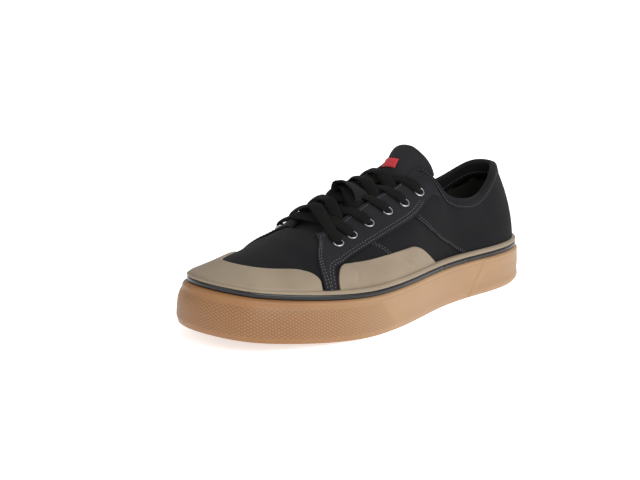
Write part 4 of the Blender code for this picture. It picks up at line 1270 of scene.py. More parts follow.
wall_points, first_lining_row = upper_points()
upper_mesh = laid("upper_wall", wall_points, inner_from=first_lining_row, close="bridge")
finish("upper_wall", upper_mesh, [CANVAS, LINING], ["upper"])
print("upper triangles:", made["upper_wall"])

# %% [markdown]
# Everything sewn or glued on the upper is a layer: a grid on the skin, lifted by the
# layer's thickness, with its edges rolled down to the cloth and its back sunk slightly into
# it. One function makes them all. It also presses a shallow groove along each stitch line,
# because thread pulls suede and cloth down.

# %% Layers on the skin
SUNK = -0.0004
EDGE_LIFT = 0.0001
GROOVE_WIDTH = 0.0007
EDGE_TONE_WIDTH = 0.0008


def layer(name, u, past, thick, rolls, radius, grooves=(), puff=None):
    """Closed sheet on the skin. rolls names the edges that roll down; a groove has an edge,
    a distance from it and a depth. Also gives the outer points and their distances."""
    flat = wrapped(u, past, 0.0)
    run_across = np.cumsum(np.linalg.norm(np.diff(flat, axis=1), axis=2), axis=1)
    run_across = np.concatenate([np.zeros((len(flat), 1)), run_across], axis=1)
    run_along = np.cumsum(np.linalg.norm(np.diff(flat, axis=0), axis=2), axis=0)
    run_along = np.concatenate([np.zeros((1, flat.shape[1])), run_along], axis=0)
    distances = {"first": run_across, "last": run_across[:, -1:] - run_across,
                 "low": run_along, "high": run_along[-1:] - run_along}
    shape = np.ones(flat.shape[:2])
    for edge in rolls:
        shape = np.minimum(shape, quarter_round(distances[edge], radius))
    lift = EDGE_LIFT + (thick - EDGE_LIFT) * shape
    for edge, distance, depth in grooves:
        lift = lift - depth * np.exp(-((distances[edge] - distance) / GROOVE_WIDTH) ** 2)
    if puff is not None:
        lift = lift + puff
    outer = placed(wrapped(u, past, lift))
    inner = placed(wrapped(u, past, np.full_like(lift, SUNK)))
    both = np.concatenate([outer, inner[:, ::-1], outer[:, :1]], axis=1)
    # Edge mask for painted light: cloth and suede paint a shadow along the edges, tan rubber a highlight.
    nearest = np.min([distances[edge] for edge in rolls], axis=0)
    edge_shade_and_highlight = np.clip(1.0 - nearest / EDGE_TONE_WIDTH, 0.0, 1.0)
    painted_edge_mask = np.concatenate([edge_shade_and_highlight, edge_shade_and_highlight[:, ::-1], edge_shade_and_highlight[:, :1]], axis=1)
    return laid(name, both, [("edge", painted_edge_mask)], close="fill"), outer, distances


def edge_stops(count, fine_share, fine_count):
    """Stops with more of them near both ends."""
    return stops((fine_share, fine_count), (1.0 - 2.0 * fine_share, count), (fine_share, fine_count))


print("stops near both ends:", np.round(edge_stops(2, 0.1, 2), 3))

# %% [markdown]
# The toe cap and the side patch are thin rubber sheets glued on before the strips, so they
# run down behind them. The cap's top edge climbs slowly to the tip, and its ends are
# rounded. The patch is only on the outer side, high at its front and sloping at its rear.

# %% Toe cap and side patch
BEHIND_STRIPS = 0.0040
RUBBER_EDGE = 0.0011
CAP_END_SHARE = 0.30
PATCH_END_SHARE = 0.05
CAP_DEPTH_COLUMNS = ("along", "depth")
CAP_DEPTHS = (
    (0.780, 0.0150),
    (0.824, 0.0160),
    (0.858, 0.0178),
    (0.936, 0.0209),
    (1.000, 0.0220),
)


def low_layer(name, u, depth):
    """Rubber sheet from behind the strips up to a depth over them."""
    rows = stops((0.16, 4), (0.60, 20), (0.24, 12))[:, None]
    past = below(u, -BEHIND_STRIPS + (depth + BEHIND_STRIPS) * rows)
    grid_u = np.broadcast_to(u, past.shape)
    return layer(name, grid_u, past, LAYER_GAP + RUBBER, ("first", "last", "high"), RUBBER_EDGE)[0]


def cap_mesh():
    first, last = around(CAP_ENDS[0], 1), around(CAP_ENDS[1], -1)
    u = first + (last - first) * edge_stops(220, 0.10, 60)
    knots, depths = (column(CAP_DEPTHS, CAP_DEPTH_COLUMNS, key) for key in CAP_DEPTH_COLUMNS)
    depth = np.interp(outline(u)[2], knots, depths)
    corner = quarter_round(np.minimum(u - first, last - u) * EDGE_LENGTH, CAP_CORNER)
    return low_layer("toe_cap_rubber", u, depth * (CAP_END_SHARE + (1.0 - CAP_END_SHARE) * corner))


def patch_mesh():
    first, last = around(WRAP_ENDS[0], 1), around(WRAP_ENDS[1], 1)
    u = first + (last - first) * edge_stops(130, 0.12, 44)
    rear = np.sin(np.clip((u - first) * EDGE_LENGTH / WRAP_SLOPE, 0.0, 1.0) * math.pi / 2.0)
    front = quarter_round((last - u) * EDGE_LENGTH, WRAP_CORNER)
    share = PATCH_END_SHARE + (1.0 - PATCH_END_SHARE) * np.minimum(rear, front)
    return low_layer("side_patch_rubber", u, WRAP_DEPTH * share)


finish("toe_cap_rubber", cap_mesh(), [TAN_RUBBER], ["toe_cap"])
finish("side_patch_rubber", patch_mesh(), [TAN_RUBBER], ["side_wrap"])
print("rubber layers:", made["toe_cap_rubber"], made["side_patch_rubber"])

# %% [markdown]
# The heel panel and the collar band are canvas layers. The band is folded over the rim, so
# its grid runs up the outer face, over and some way down the lining. The panel's front
# edges slant down and back from the eyestay to the sole, with two rows of stitches.

# %% Heel panel and collar band
PANEL_TOP_FOOT = 0.484
PANEL_EDGE_COLUMNS = ("foot", "up")
PANEL_EDGE = (
    (0.286, 0.0000),
    (0.342, 0.0102),
    (0.420, 0.0244),
    (0.484, 0.0397),
)
PANEL_UNDER_FACING = 0.0030
PANEL_UNDER_BAND = 0.0020
PANEL_GROOVE = 0.00022
PANEL_ROLL = 0.0006
BAND_START = 0.418
BAND_INSIDE = 0.0095
BAND_ROLL = 0.0007
BAND_PUFF = 0.0007
PUFF_PLACE = -0.0012
PUFF_WIDTH = 0.0028
BAND_GROOVE = 0.0003
BAND_STITCH = 0.0040
BAND_INNER_STITCH = 0.0024
STITCH_ROWS = (0.0019, 0.0042)


def eyestay_rail(name, steps):
    """One column of the eyestay's table, drawn out to smooth steps along the strip."""
    knots = np.linspace(0.0, 1.0, len(EYESTAY))
    return spline(knots, column(EYESTAY, EYESTAY_COLUMNS, name), steps)[:, 0]


RAIL_STEPS = np.linspace(0.0, 1.0, 181)
RAILS = {name: eyestay_rail(name, RAIL_STEPS) for name in EYESTAY_COLUMNS}


def band_depth(foot):
    """Depth of the band, which tapers off under the eyestay."""
    first, last = EYESTAY[0][2], EYESTAY[0][0]
    return BAND_DEPTH * np.clip((last - foot) / (last - first), 0.0, 1.0)


def panel_layer():
    """Cloth round the heel, between two slanting front edges."""
    first, last = around(PANEL_TOP_FOOT, -1) - 1.0, around(PANEL_TOP_FOOT, 1)
    top = first + (last - first) * edge_stops(300, 0.035, 24)
    top_foot = outline(top)[2]
    facing = np.interp(top_foot, RAILS["outer_foot"], RAILS["outer_up"])
    under_facing = top_foot > RAILS["outer_foot"][0]
    size = girth(top)
    up = np.where(under_facing, facing + PANEL_UNDER_FACING / size,
                  1.0 - (band_depth(top_foot) - PANEL_UNDER_BAND) / size)
    start = -BEHIND_STRIPS / size
    v = start + (up - start) * np.linspace(0.0, 1.0, 56)[:, None]
    edge_foot, edge_up = (column(PANEL_EDGE, PANEL_EDGE_COLUMNS, key) for key in PANEL_EDGE_COLUMNS)
    edge_v = edge_up / girth(around(edge_foot, 1))
    foot = top_foot / PANEL_TOP_FOOT * np.interp(v * edge_v[-1] / up[-1], edge_v, edge_foot)
    u = np.where(top < 0.0, around(foot, -1) - 1.0, around(foot, 1))
    past = -girth(u) * (1.0 - v)
    grooves = [(edge, distance, PANEL_GROOVE) for edge in ("first", "last") for distance in STITCH_ROWS]
    return layer("heel_panel_cloth", u, past, PANEL, ("first", "last"), PANEL_ROLL, grooves)


def band_layer():
    """Band up the outer face, over the rim and down the lining."""
    first, last = around(BAND_START, -1) - 1.0, around(BAND_START, 1)
    u = np.linspace(first, last, 381)
    depth = band_depth(outline(u)[2])
    thick = LAYER_GAP + PANEL
    inside = math.pi * (WALL / 2.0 + thick) + BAND_INSIDE
    rows = stops((0.05, 4), (0.30, 14), (0.27, 16), (0.33, 12), (0.05, 4))[:, None]
    past = -depth + (inside + depth) * rows
    grid_u = np.broadcast_to(u, past.shape)
    puff = BAND_PUFF * np.exp(-((past - PUFF_PLACE) / PUFF_WIDTH) ** 2)
    grooves = [("low", BAND_DEPTH - BAND_STITCH, BAND_GROOVE), ("high", BAND_INNER_STITCH, BAND_GROOVE)]
    return layer("collar_band_cloth", grid_u, past, thick, ("low", "high"), BAND_ROLL, grooves, puff)


panel_mesh, panel_face, panel_runs = panel_layer()
band_mesh, band_face, band_runs = band_layer()
finish("heel_panel_cloth", panel_mesh, [CANVAS], ["heel_panel"])
finish("collar_band_cloth", band_mesh, [CANVAS], ["collar_band"])
print("panel and band:", made["heel_panel_cloth"], made["collar_band_cloth"])

# %% [markdown]
# The eyestay is the suede strip that carries the eyelets. It starts at the collar, runs
# along the facing, where it is folded over the rim, and its leg turns down in front of the
# side patch to the sole. Its grid goes from the inner edge to the outer edge of that strip.

# %% Eyestays
SIDES = ((1, "lateral"), (-1, "medial"))
FACING_FOLD = 0.0030
RIM_LEG = (0.738, 0.757)
LEG_TAIL = 0.96
SUEDE_GROOVE = 0.00028
SUEDE_ROLL = 0.0010


def past_rim():
    """How far the inner edge is folded past the rim, at each step of the rails."""
    fold = math.pi * (WALL / 2.0 + LAYER_GAP + SUEDE) + FACING_FOLD
    return fold * (1.0 - blend((RAILS["inner_foot"] - RIM_LEG[0]) / (RIM_LEG[1] - RIM_LEG[0])))


def eyestay_layer(side, name):
    """Suede strip between its two rails, folded over the rim along the facing."""
    across = edge_stops(40, 0.12, 10)[None, :]
    inner_u = around(RAILS["inner_foot"], side)[:, None]
    outer_u = around(RAILS["outer_foot"], side)[:, None]
    inner_past = -(1.0 - np.minimum(RAILS["inner_up"], 1.0)) * girth(inner_u[:, 0]) + past_rim()
    outer_past = -(1.0 - RAILS["outer_up"]) * girth(outer_u[:, 0])
    past = inner_past[:, None] + (outer_past - inner_past)[:, None] * across
    u = inner_u + (outer_u - inner_u) * across
    tail = np.clip((RAIL_STEPS - LEG_TAIL) / (1.0 - LEG_TAIL), 0.0, 1.0)[:, None]
    past = past - tail * BEHIND_STRIPS
    grooves = [("last", distance, SUEDE_GROOVE) for distance in STITCH_ROWS]
    return layer(name, u, past, LAYER_GAP + SUEDE, ("first", "last"), SUEDE_ROLL, grooves)


stay_grids = {}
for side, word in SIDES:
    stay_mesh, stay_face, stay_runs = eyestay_layer(side, "eyestay_suede_" + word)
    stay_grids[side] = (stay_face, stay_runs)
    finish("eyestay_suede_" + word, stay_mesh, [SUEDE_BLACK], ["eyestay_" + word])
print("eyestays:", made["eyestay_suede_lateral"], made["eyestay_suede_medial"])

# %% [markdown]
# The tongue is a padded sheet. Under the facings it lies flat, between them it is crowned,
# and its free top stands up in a rounded arch. Its two faces bulge and meet at the edge,
# as on a pad that was sewn inside out and turned.

# %% Tongue
TONGUE_COLUMNS = 56
TONGUE_LENGTHWISE = 110
TONGUE_TOP_STEPS = 40
TONGUE_FAN = 0.800
TONGUE_CUT = 0.12


def tongue_rows():
    """Seven points across each row: three under each facing and one on the crest."""
    rows = []
    depth = -(WALL + TONGUE_GAP)
    fan = np.linspace(around(TONGUE_FAN, 1), around(TONGUE_FAN, -1), 7)
    for tuck in (VAMP_TUCK, TONGUE_INSET):
        v = 1.0 - tuck / girth(fan)
        rows.append(skin(fan, v) + skin_normal(fan, v) * depth)
    for row in named_rows(TONGUE_ROWS, TONGUE_ROW_COLUMNS):
        points = []
        for side in (1, -1):
            u = np.full(3, around(row["foot"], side))
            v = 1.0 - np.linspace(TONGUE_TUCK * row["tuck_share"], TONGUE_INSET, 3) / girth(u)
            points += list(skin(u, v) + skin_normal(u, v) * depth)
        middle = (points[2] + points[5]) / 2.0 + np.array([0.0, 0.0, row["crest"]])
        rows.append(np.array(points[:3] + [middle] + points[:2:-1]))
    across = np.array([1.0, 0.70, 0.38, 0.0, -0.38, -0.70, -1.0])
    drop = np.where(across < 0.0, np.abs(across) ** 3, across ** 2)
    for row in named_rows(TONGUE_TOP, TONGUE_TOP_COLUMNS):
        x = (row["along"] + (row["edge_along"] - row["along"]) * drop) * LENGTH
        y = (TONGUE_SIDE + row["half"] * across) * BALL_WIDTH
        z = (row["high"] + (row["edge_high"] - row["high"]) * drop) * COLLAR_HEIGHT
        rows.append(np.column_stack([x, y, z]))
    return np.array(rows)


TONGUE_TABLE = tongue_rows()


def tongue_surface(across, along, cut=0.0):
    """Points of the tongue's outer face; across runs 0 to 1 from the outer side, along from
    the vamp to the top. cut is how far its top corners are rounded off."""
    rows = TONGUE_TABLE
    places = np.array([spline(np.linspace(0.0, 1.0, 7), row, across) for row in rows])
    steps = np.linalg.norm(np.diff(rows, axis=0), axis=2).mean(axis=1)
    knots = np.concatenate([[0.0], np.cumsum(steps)])
    ends = 1.0 - cut * np.abs(2.0 * across - 1.0) ** 3
    lines = [spline(knots / knots[-1], places[:, i], along * end) for i, end in enumerate(ends)]
    return np.stack(lines, axis=1)


def tongue_middle(across, along):
    """Sheet half way through the tongue."""
    face = tongue_surface(across, along, TONGUE_CUT)
    return placed(face - upward(grid_normals(face)) * TONGUE_THICK / 2.0)


tongue_across = 0.5 - 0.5 * np.cos(np.linspace(0.0, math.pi, TONGUE_COLUMNS + 1))
tongue_across = 0.4 * tongue_across + 0.6 * np.linspace(0.0, 1.0, TONGUE_COLUMNS + 1)
tongue_along = stops((0.80, TONGUE_LENGTHWISE - TONGUE_TOP_STEPS), (0.20, TONGUE_TOP_STEPS))
tongue_mesh = pillow("tongue_pad", tongue_across, tongue_along, tongue_middle, TONGUE_THICK, 6.0, 40.0)
tongue = finish("tongue_pad", tongue_mesh, [TONGUE_CLOTH], ["tongue"])
print("tongue triangles:", made["tongue_pad"])

# %% [markdown]
# A small red tab is sewn on the tongue near its top. It is left bare. It is a thin padded
# sheet with square corners that follows the tongue.

# %% Tongue tab
LABEL_THICK = 0.0009
LABEL_CLEAR = 0.0002


def label_face(across, along):
    """Sheet half way through the tab, measured out on the tongue's middle line and across it."""
    span = TONGUE_TABLE[:, 3]
    length = np.linalg.norm(np.diff(span, axis=0), axis=1).sum()
    width = np.linalg.norm(np.diff(TONGUE_TABLE[-3], axis=0), axis=1).sum()
    side = LABEL_PLACE[0] + (across - 0.5) * LABEL_LENGTH / width
    up = LABEL_PLACE[1] + (along - 0.5) * LABEL_DEPTH / length
    face = tongue_surface(side, up)
    return placed(face + upward(grid_normals(face)) * (LABEL_THICK / 2.0 + LABEL_CLEAR))


label_mesh = pillow("tongue_tab", np.linspace(0.0, 1.0, 41), np.linspace(0.0, 1.0, 21), label_face,
                    LABEL_THICK, 14.0, 14.0)
finish("tongue_tab", label_mesh, [LABEL], ["tongue_label"])
print("tab triangles:", made["tongue_tab"])

# %% [markdown]
# An eyelet is a turned part: a rolled flange on the suede and a short barrel into the hole.
# Its half section is spun round its axis. A dark disc inside the barrel is painted shade
# for the depth of the hole.

# %% Eyelets
EYELET_BORE = 0.00265
FLANGE_HIGH = 0.00115
FLANGE_SUNK = 0.0004
BARREL_DEPTH = 0.0016
BARREL_WALL = 0.0003
DISC_DEPTH = 0.0005
EYELET_STEPS = 40


def beside_eyelet(index, side):
    """Place round the shoe of an eyelet, counted from 0 at the toe end."""
    share = index / (EYELETS - 1)
    return np.array([around(EYELET_FEET[0] + (EYELET_FEET[1] - EYELET_FEET[0]) * share, side)])


def eyelet_place(index, side):
    """Centre on the suede, in the heel's frame, with the surface's normal."""
    u = beside_eyelet(index, side)
    v = 1.0 - EYELET_SET / girth(u)
    normal = skin_normal(u, v)[0]
    return skin(u, v)[0] + normal * (LAYER_GAP + SUEDE), normal


def eyelet_frame(index, side):
    """Turns the eyelet's axis to the suede's normal and moves it to its place."""
    centre, normal = eyelet_place(index, side)
    turn = Vector((0, 0, 1)).rotation_difference(Vector(normal)).to_matrix().to_4x4()
    return Matrix.Translation(Vector(placed(centre))) @ turn


def eyelet_mesh(name, index, side):
    """Flange and barrel spun from half a section, with a dark disc of painted shade inside."""
    body = bmesh.new()
    middle, half = (EYELET_RADIUS + EYELET_BORE) / 2.0, (EYELET_RADIUS - EYELET_BORE) / 2.0
    profile = [(EYELET_RADIUS, -FLANGE_SUNK)]
    profile += [(middle + half * math.cos(a), FLANGE_HIGH * (0.35 + 0.65 * math.sin(a)))
                for a in np.linspace(0.0, math.pi, 9)]
    profile += [(EYELET_BORE, -BARREL_DEPTH), (EYELET_BORE + BARREL_WALL, -BARREL_DEPTH)]
    start = [body.verts.new((radius, 0.0, height)) for radius, height in profile]
    edges = [body.edges.new((a, b)) for a, b in zip(start, start[1:] + start[:1])]
    bmesh.ops.spin(body, geom=start + edges, cent=(0, 0, 0), axis=(0, 0, 1), dvec=(0, 0, 0),
                   angle=math.tau, steps=EYELET_STEPS, use_merge=True, use_duplicate=False)
    bmesh.ops.recalc_face_normals(body, faces=body.faces)
    ring_faces = len(body.faces)
    bmesh.ops.create_circle(body, cap_ends=True, segments=24, radius=EYELET_BORE + 0.0001,
                            matrix=Matrix.Translation((0.0, 0.0, -DISC_DEPTH)))
    body.faces.ensure_lookup_table()
    for face in body.faces[ring_faces:]:
        face.material_index = 1
        if face.normal.z < 0:
            face.normal_flip()
    bmesh.ops.transform(body, matrix=eyelet_frame(index, side), verts=body.verts)
    mesh = bpy.data.meshes.new(name)
    body.to_mesh(mesh)
    body.free()
    return mesh


for side, word in SIDES:
    for index in range(EYELETS):
        name = "eyelet_ring_%s_%d" % (word, index + 1)
        finish(name, eyelet_mesh(name, index, side), [METAL, HOLE_SHADE],
               ["eyelet_%s_%d" % (word, index + 1)], smooth=60.0)
print("eyelets:", 2 * EYELETS)

# %% [markdown]
# The lace is held all the way, so it is no free cord. Each strand is a flat braided band,
# drawn taut over whatever lies under it: tongue, facing, eyelet and other strands. Rays
# cast down across its width find those heights, the upper hull of them is the taut string,
# and a little smoothing makes it soft. It ends in an eyelet, or comes out from under a
# facing. At the toe end both strands of the first crossing come up out of the holes.

# %% Taut bands
LACE_THICK = 0.0026
LACE_CLEAR = 0.00015
BAND_LINES = 7
BAND_SAMPLES = 56
BAND_TOUCH = 0.9
RIBBON_STEP = 0.0006
RIBBON_END = 0.0012
RAY_HEIGHT = 0.3


def tree_of(mesh):
    body = bmesh.new()
    body.from_mesh(mesh)
    tree = BVHTree.FromBMesh(body)
    body.free()
    return tree


def height_over(x, y, trees):
    """Top of what lies under a point."""
    best = -1.0
    for tree in trees:
        hit = tree.ray_cast(Vector((x, y, RAY_HEIGHT)), Vector((0, 0, -1)))[0]
        if hit is not None:
            best = max(best, hit.z)
    return best


def taut(run, heights):
    """Corners of a string pulled over a row of points."""
    hull = []
    for point in zip(run, heights):
        while len(hull) > 1:
            (ax, az), (bx, bz) = hull[-2], hull[-1]
            if (bz - az) * (point[0] - ax) > (point[1] - az) * (bx - ax):
                break
            hull.pop()
        hull.append(point)
    return np.array(hull)


def softened(run, heights, under, reach):
    """Smoothed heights that still clear what lies under them."""
    weights = np.exp(-((run[:, None] - run[None, :]) / reach) ** 2)
    weights /= weights.sum(axis=1, keepdims=True)
    soft = weights @ heights
    for _ in range(4):
        short = np.maximum(under - soft, 0.0)
        soft = soft + np.max(weights / weights.max(axis=1, keepdims=True) * short[None, :], axis=1)
    return soft


def band_over(start, stop, width, thick, trees, reach=0.0030):
    """Middle line and half-width vectors of a band drawn from start to stop over the trees."""
    start, stop = np.array(start[:2]), np.array(stop[:2])
    heading = unit(stop - start)
    sideways = np.array([-heading[1], heading[0]]) * width / 2.0
    run = np.linspace(0.0, np.linalg.norm(stop - start), BAND_SAMPLES)
    across = np.linspace(-1.0, 1.0, BAND_LINES)
    line = start + heading * run[:, None]
    under = np.array([[height_over(x, y, trees) for x, y in line + sideways * place * BAND_TOUCH]
                      for place in across])
    over = under[0] + (under[-1] - under[0]) * (across[:, None] + 1.0) / 2.0
    lift = np.clip((under - over).max(axis=0), 0.0, None) + thick / 2.0 + LACE_CLEAR
    sides = []
    for heights in (under[0], under[-1]):
        corners = taut(run, heights + lift)
        pulled = np.interp(run, corners[:, 0], corners[:, 1])
        sides.append(softened(run, pulled, heights + lift - thick * 0.2, reach))
    low = np.column_stack([line - sideways, sides[0]])
    high = np.column_stack([line + sideways, sides[1]])
    return (low + high) / 2.0, (high - low) / 2.0


def ribbon(name, middles, halves, thicks, roundness=2.4):
    """Flat-oval band along a line of middles, with its half-width vectors and thickness."""
    run = np.concatenate([[0.0], np.cumsum(np.linalg.norm(np.diff(middles, axis=0), axis=1))])
    even = np.linspace(0.0, run[-1], int(run[-1] / RIBBON_STEP) + 2)
    line = spline(run, middles, even)
    half = spline(run, halves, even)
    thick = np.interp(even, run, thicks)
    across = np.linspace(0.0, 1.0, 13)
    grid = line[:, None] + half[:, None] * (2.0 * across[None, :, None] - 1.0)
    normal = unit(np.cross(np.gradient(grid, axis=0), np.gradient(grid, axis=1)))
    if normal[len(normal) // 2, 6, 2] < 0:
        normal = -normal
    side = (1.0 - np.abs(2.0 * across - 1.0) ** roundness) ** 0.5
    ends = quarter_round(np.minimum(even, even[-1] - even), RIBBON_END)
    bulge = (thick * ends)[:, None, None] / 2.0 * side[None, :, None] * normal
    outer, inner = grid + bulge, grid - bulge
    return laid(name, np.concatenate([outer, inner[:, -2::-1]], axis=1))


print("corners of a string over a bump:", len(taut([0.0, 1.0, 2.0, 3.0], [0.0, 1.0, 0.2, 0.0])))

# %% [markdown]
# Five crossings lead from the lowest eyelets up to the top ones. They are made from the top
# down, because each lies over the start of the next. The strand from the outer side lies on
# top. Each strand has a slight bow of its own, so that no two look the same.

# %% Laces
LACE_BOWS = (0.0010, -0.0007, 0.0006, -0.0011, 0.0009, -0.0005, 0.0004, -0.0009, 0.0007, -0.0006)
HOLE_LEAD = 0.0042
HOLE_HALF_WIDTH = 0.0019
HOLE_THICK = 0.0028
HOLE_COLUMNS = ("back", "out")
HOLE_PATH = (
    (0.30 * HOLE_LEAD, 0.0016),
    (0.0007, -0.0004),
    (0.0002, -0.0044),
)
FACING_START = 0.45
TAIL_LENGTH = 0.0080
TAIL_DROP = 0.0008
TAIL_THICKS = (0.0012, 0.0015)


def facing_edge(index, side):
    """The rim of the facing beside an eyelet, with the skin's normal."""
    u = beside_eyelet(index, side)
    return skin(u, np.ones(1))[0], skin_normal(u, np.ones(1))[0]


def hole_stations(index, side, half, toward):
    """Stations that lead a band over an eyelet's flange and down into its hole."""
    centre, normal = eyelet_place(index, side)
    small = unit(half) * HOLE_HALF_WIDTH
    over, mouth, deep = (placed(centre) - toward * row["back"] + normal * row["out"]
                         for row in named_rows(HOLE_PATH, HOLE_COLUMNS))
    return [(over, (half + small) / 2.0, LACE_THICK * 1.1), (mouth, small, HOLE_THICK),
            (deep, small * 0.9, HOLE_THICK)]


def strand(name, index, side, trees, bow):
    """Lace from one side's eyelet or facing to the next eyelet up on the other side."""
    stop_centre = placed(eyelet_place(index + 1, -side)[0])
    if index == 0:
        start_centre = placed(eyelet_place(0, side)[0])
        heading = unit((stop_centre - start_centre)[:2])
        first = start_centre[:2] + heading * HOLE_LEAD
    else:
        edge, edge_normal = facing_edge(index, side)
        edge = placed(edge)
        heading = unit((stop_centre - edge)[:2])
        first = edge[:2] + heading * LACE_WIDTH * FACING_START
    last = stop_centre[:2] - heading * HOLE_LEAD
    middles, halves = band_over(first, last, LACE_WIDTH, LACE_THICK, trees)
    share = np.linspace(0.0, 1.0, len(middles))
    sideways = np.array([-heading[1], heading[0], 0.0])
    middles = middles + sideways * (bow * np.sin(math.pi * share))[:, None]
    toward = unit(np.array([heading[0], heading[1], 0.0]))
    rows = [(m, h, LACE_THICK) for m, h in zip(middles, halves)]
    tail = hole_stations(index + 1, -side, halves[-1], toward)
    if index == 0:
        head = hole_stations(0, side, halves[0], -toward)[::-1]
    else:
        under = edge - edge_normal * (WALL + 0.0012)
        deep = under - toward * TAIL_LENGTH - np.array([0.0, 0.0, TAIL_DROP])
        head = [(deep, halves[0], TAIL_THICKS[0]), (under, halves[0], TAIL_THICKS[1])]
    middles, halves, thicks = (np.array(values) for values in zip(*(head + rows[::3] + tail)))
    return ribbon(name, middles, halves, thicks)


def joined(name, meshes):
    """One mesh from several."""
    body = bmesh.new()
    for mesh in meshes:
        body.from_mesh(mesh)
    mesh = bpy.data.meshes.new(name)
    body.to_mesh(mesh)
    body.free()
    return mesh


SHEETS = ("upper_wall", "tongue_pad", "eyestay_suede_lateral", "eyestay_suede_medial")
sheet_trees = [tree_of(bpy.data.objects[name].data) for name in SHEETS]
ring_trees = [tree_of(bpy.data.objects[name].data) for name in made if name.startswith("eyelet_ring")]
trees = sheet_trees + ring_trees
for index in range(EYELETS - 2, -1, -1):
    name = "lace_strands_%d" % (index + 1)
    lower = strand(name + "_lower", index, -1, trees, LACE_BOWS[2 * index])
    upper = strand(name + "_upper", index, 1, trees + [tree_of(lower)], LACE_BOWS[2 * index + 1])
    both = joined(name, [lower, upper])
    trees.append(tree_of(both))
    finish(name, both, [LACE], ["lace_crossing_%d" % (index + 1)], smooth=70.0)
print("lace triangles:", sum(count for name, count in made.items() if name.startswith("lace")))

# %% [markdown]
# A loop of ribbed webbing across the tongue keeps it from sliding. The laces run under it,
# between the third and the fourth eyelets.

# %% Lace keeper
KEEPER_THICK = 0.0013
KEEPER_INDEX = 2.5
KEEPER_REACH = 0.62
KEEPER_TUCK = 0.76
KEEPER_BEND = 0.0016


def keeper_mesh():
    """Webbing over a crossing, with both ends tucked in against the tongue."""
    outer, inner = (placed(facing_edge(KEEPER_INDEX, side)[0]) for side in (1, -1))
    middle, half = (outer + inner) / 2.0, (outer - inner) / 2.0
    start, stop = middle + half * KEEPER_REACH, middle - half * KEEPER_REACH
    under = sheet_trees + [tree_of(bpy.data.objects["lace_strands_3"].data)]
    middles, halves = band_over(start, stop, KEEPER_WIDTH, KEEPER_THICK, under, KEEPER_BEND)
    tongue_tree = sheet_trees[SHEETS.index("tongue_pad")]
    ends = [middle + half * KEEPER_TUCK, middle - half * KEEPER_TUCK]
    for place, near in zip(ends, (start, stop)):
        place[2] = height_over(near[0], near[1], [tongue_tree]) - KEEPER_THICK
    line = np.vstack([ends[0], middles[3:-3:3], ends[1]])
    width = np.vstack([halves[0], halves[3:-3:3], halves[-1]])
    return ribbon("keeper_webbing", line, width, np.full(len(line), KEEPER_THICK), 10.0)


finish("keeper_webbing", keeper_mesh(), [WEBBING], ["lace_keeper"], smooth=60.0)
print("keeper triangles:", made["keeper_webbing"])

# %% [markdown]
# Stitches hold the layers. Each is a small ball, stretched along its row, that lies in the
# groove pressed for it. A row is found on the piece's own grid, at a distance from its
# edge, and the stitches are spaced evenly along it. Painting them as dots would be flat.

# %% Stitches
STITCH_PITCH = 0.0024
STITCH_LONG = 0.00135
STITCH_RADIUS = 0.00034
STITCH_HEIGHT = 0.8
STITCH_RAISED = 0.15
INNER_EDGE_SET = 0.0004
CORE_HEIGHT = 0.03
ABOVE_STRIPS = 0.001
PANEL_ROWS_UNDER = 5
SEAM_COLUMNS = ("along", "up")
QUARTER_SEAM = (
    (0.609, 0.0287),
    (0.572, 0.0155),
)
SEAM_HALF = 0.0011


def row_at(points, distances, wanted):
    """Where each row of a grid passes a distance from its edge, with the normals there."""
    normal = grid_normals(points)
    from_core = points * np.array([0.0, 1.0, 1.0]) - np.array([0.0, 0.0, CORE_HEIGHT])
    if (normal * from_core).sum(axis=2).mean() < 0:
        normal = -normal
    wanted = np.broadcast_to(wanted, (len(points),))
    found, ways = [], []
    for line, facing, run, value in zip(points, normal, distances, wanted):
        order = np.argsort(run)
        found.append([np.interp(value, run[order], line[order, k]) for k in range(3)])
        ways.append([np.interp(value, run[order], facing[order, k]) for k in range(3)])
    return np.array(found), unit(np.array(ways))


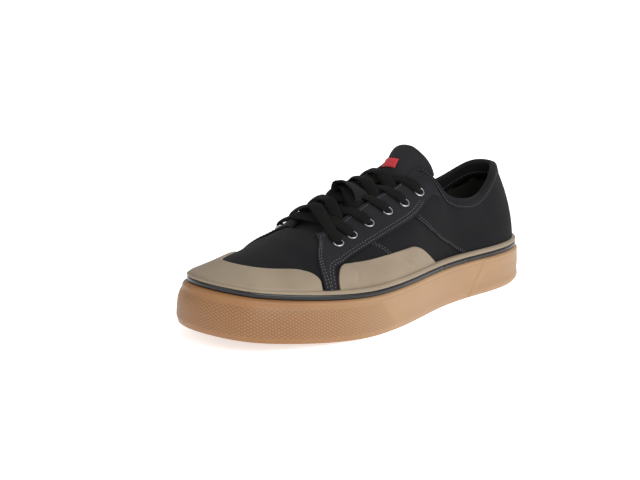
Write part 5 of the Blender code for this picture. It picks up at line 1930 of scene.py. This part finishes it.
def stitches(name, rows, paint):
    """Stretched balls along rows of points, each turned to its row and the cloth."""
    body = bmesh.new()
    half, radius = STITCH_LONG / 2.0, STITCH_RADIUS
    count = 0
    for points, normals in rows:
        run = np.concatenate([[0.0], np.cumsum(np.linalg.norm(np.diff(points, axis=0), axis=1))])
        for place in np.arange(STITCH_PITCH / 2.0, run[-1] - STITCH_PITCH / 4.0, STITCH_PITCH):
            here, before, after, up = (
                Vector([np.interp(at, run, values[:, k]) for k in range(3)])
                for at, values in ((place, points), (place - half, points), (place + half, points),
                                   (place, normals)))
            way = (after - before).normalized()
            side = up.cross(way).normalized()
            up = way.cross(side)
            turn = Matrix((way, side, up)).transposed().to_4x4()
            size = Matrix.Diagonal((half, radius, radius * STITCH_HEIGHT, 1.0))
            move = Matrix.Translation(here + up * radius * STITCH_RAISED) @ turn @ size
            bmesh.ops.create_uvsphere(body, u_segments=8, v_segments=6, radius=1.0,
                                      matrix=move @ Matrix.Rotation(math.pi / 2.0, 4, "Y"))
            count += 1
    bmesh.ops.recalc_face_normals(body, faces=body.faces)
    mesh = bpy.data.meshes.new(name)
    body.to_mesh(mesh)
    body.free()
    finish(name, mesh, [paint], smooth=80.0)
    return count


def kept(row, mask):
    """The part of a row's points and normals that a mask keeps."""
    return row[0][mask], row[1][mask]


above_strips = RAIL_STEPS < 0.985
below_collar = above_strips & (RAIL_STEPS > 0.11)
on_leg = above_strips & (RAIL_STEPS > 0.66)
stitch_count = 0
for side, word in SIDES:
    face, runs = stay_grids[side]
    rows = [kept(row_at(face, runs["last"], distance), below_collar) for distance in STITCH_ROWS]
    for distance, mask in zip(STITCH_ROWS, (above_strips, on_leg)):
        wanted = past_rim() + distance + INNER_EDGE_SET
        rows.append(kept(row_at(face, runs["first"], wanted), mask))
    stitch_count += stitches("stitches_eyestay_" + word, rows, THREAD)

low_line = TAN_LOW + TAN_HEIGHT + ABOVE_STRIPS
under_collar = np.arange(len(panel_face)) < len(panel_face) - PANEL_ROWS_UNDER
rows = []
for edge in ("first", "last"):
    for distance in STITCH_ROWS:
        row = row_at(panel_face, panel_runs[edge], distance)
        rows.append(kept(row, under_collar & (row[0][:, 2] > low_line)))
stitch_count += stitches("stitches_panel", rows, DARK_THREAD)

turned = np.swapaxes(band_face, 0, 1)
outside = row_at(turned, band_runs["low"].T, BAND_DEPTH - BAND_STITCH)
inside = row_at(turned, band_runs["high"].T, BAND_INNER_STITCH)
inside = (inside[0], -inside[1] if (inside[1] * outside[1]).sum() > 0 else inside[1])
stitch_count += stitches("stitches_band", [outside, inside], DARK_THREAD)

seam_foot, seam_up = (np.linspace(*column(QUARTER_SEAM, SEAM_COLUMNS, key), 12) for key in SEAM_COLUMNS)
rows = []
for shift in (-SEAM_HALF, SEAM_HALF):
    u = around(seam_foot, 1) + shift / EDGE_LENGTH
    rows.append((placed(wrapped(u, below(u, seam_up), 0.0)), skin_normal(u, seam_up / girth(u))))
stitch_count += stitches("stitches_quarter_seam", rows, THREAD)
print("stitches:", stitch_count)

# %% [markdown]
# The last cell prints how many triangles the added pieces have, and in how many pieces.

# %% Count of triangles
print("added triangles:", sum(made.values()), "in", len(made), "pieces")
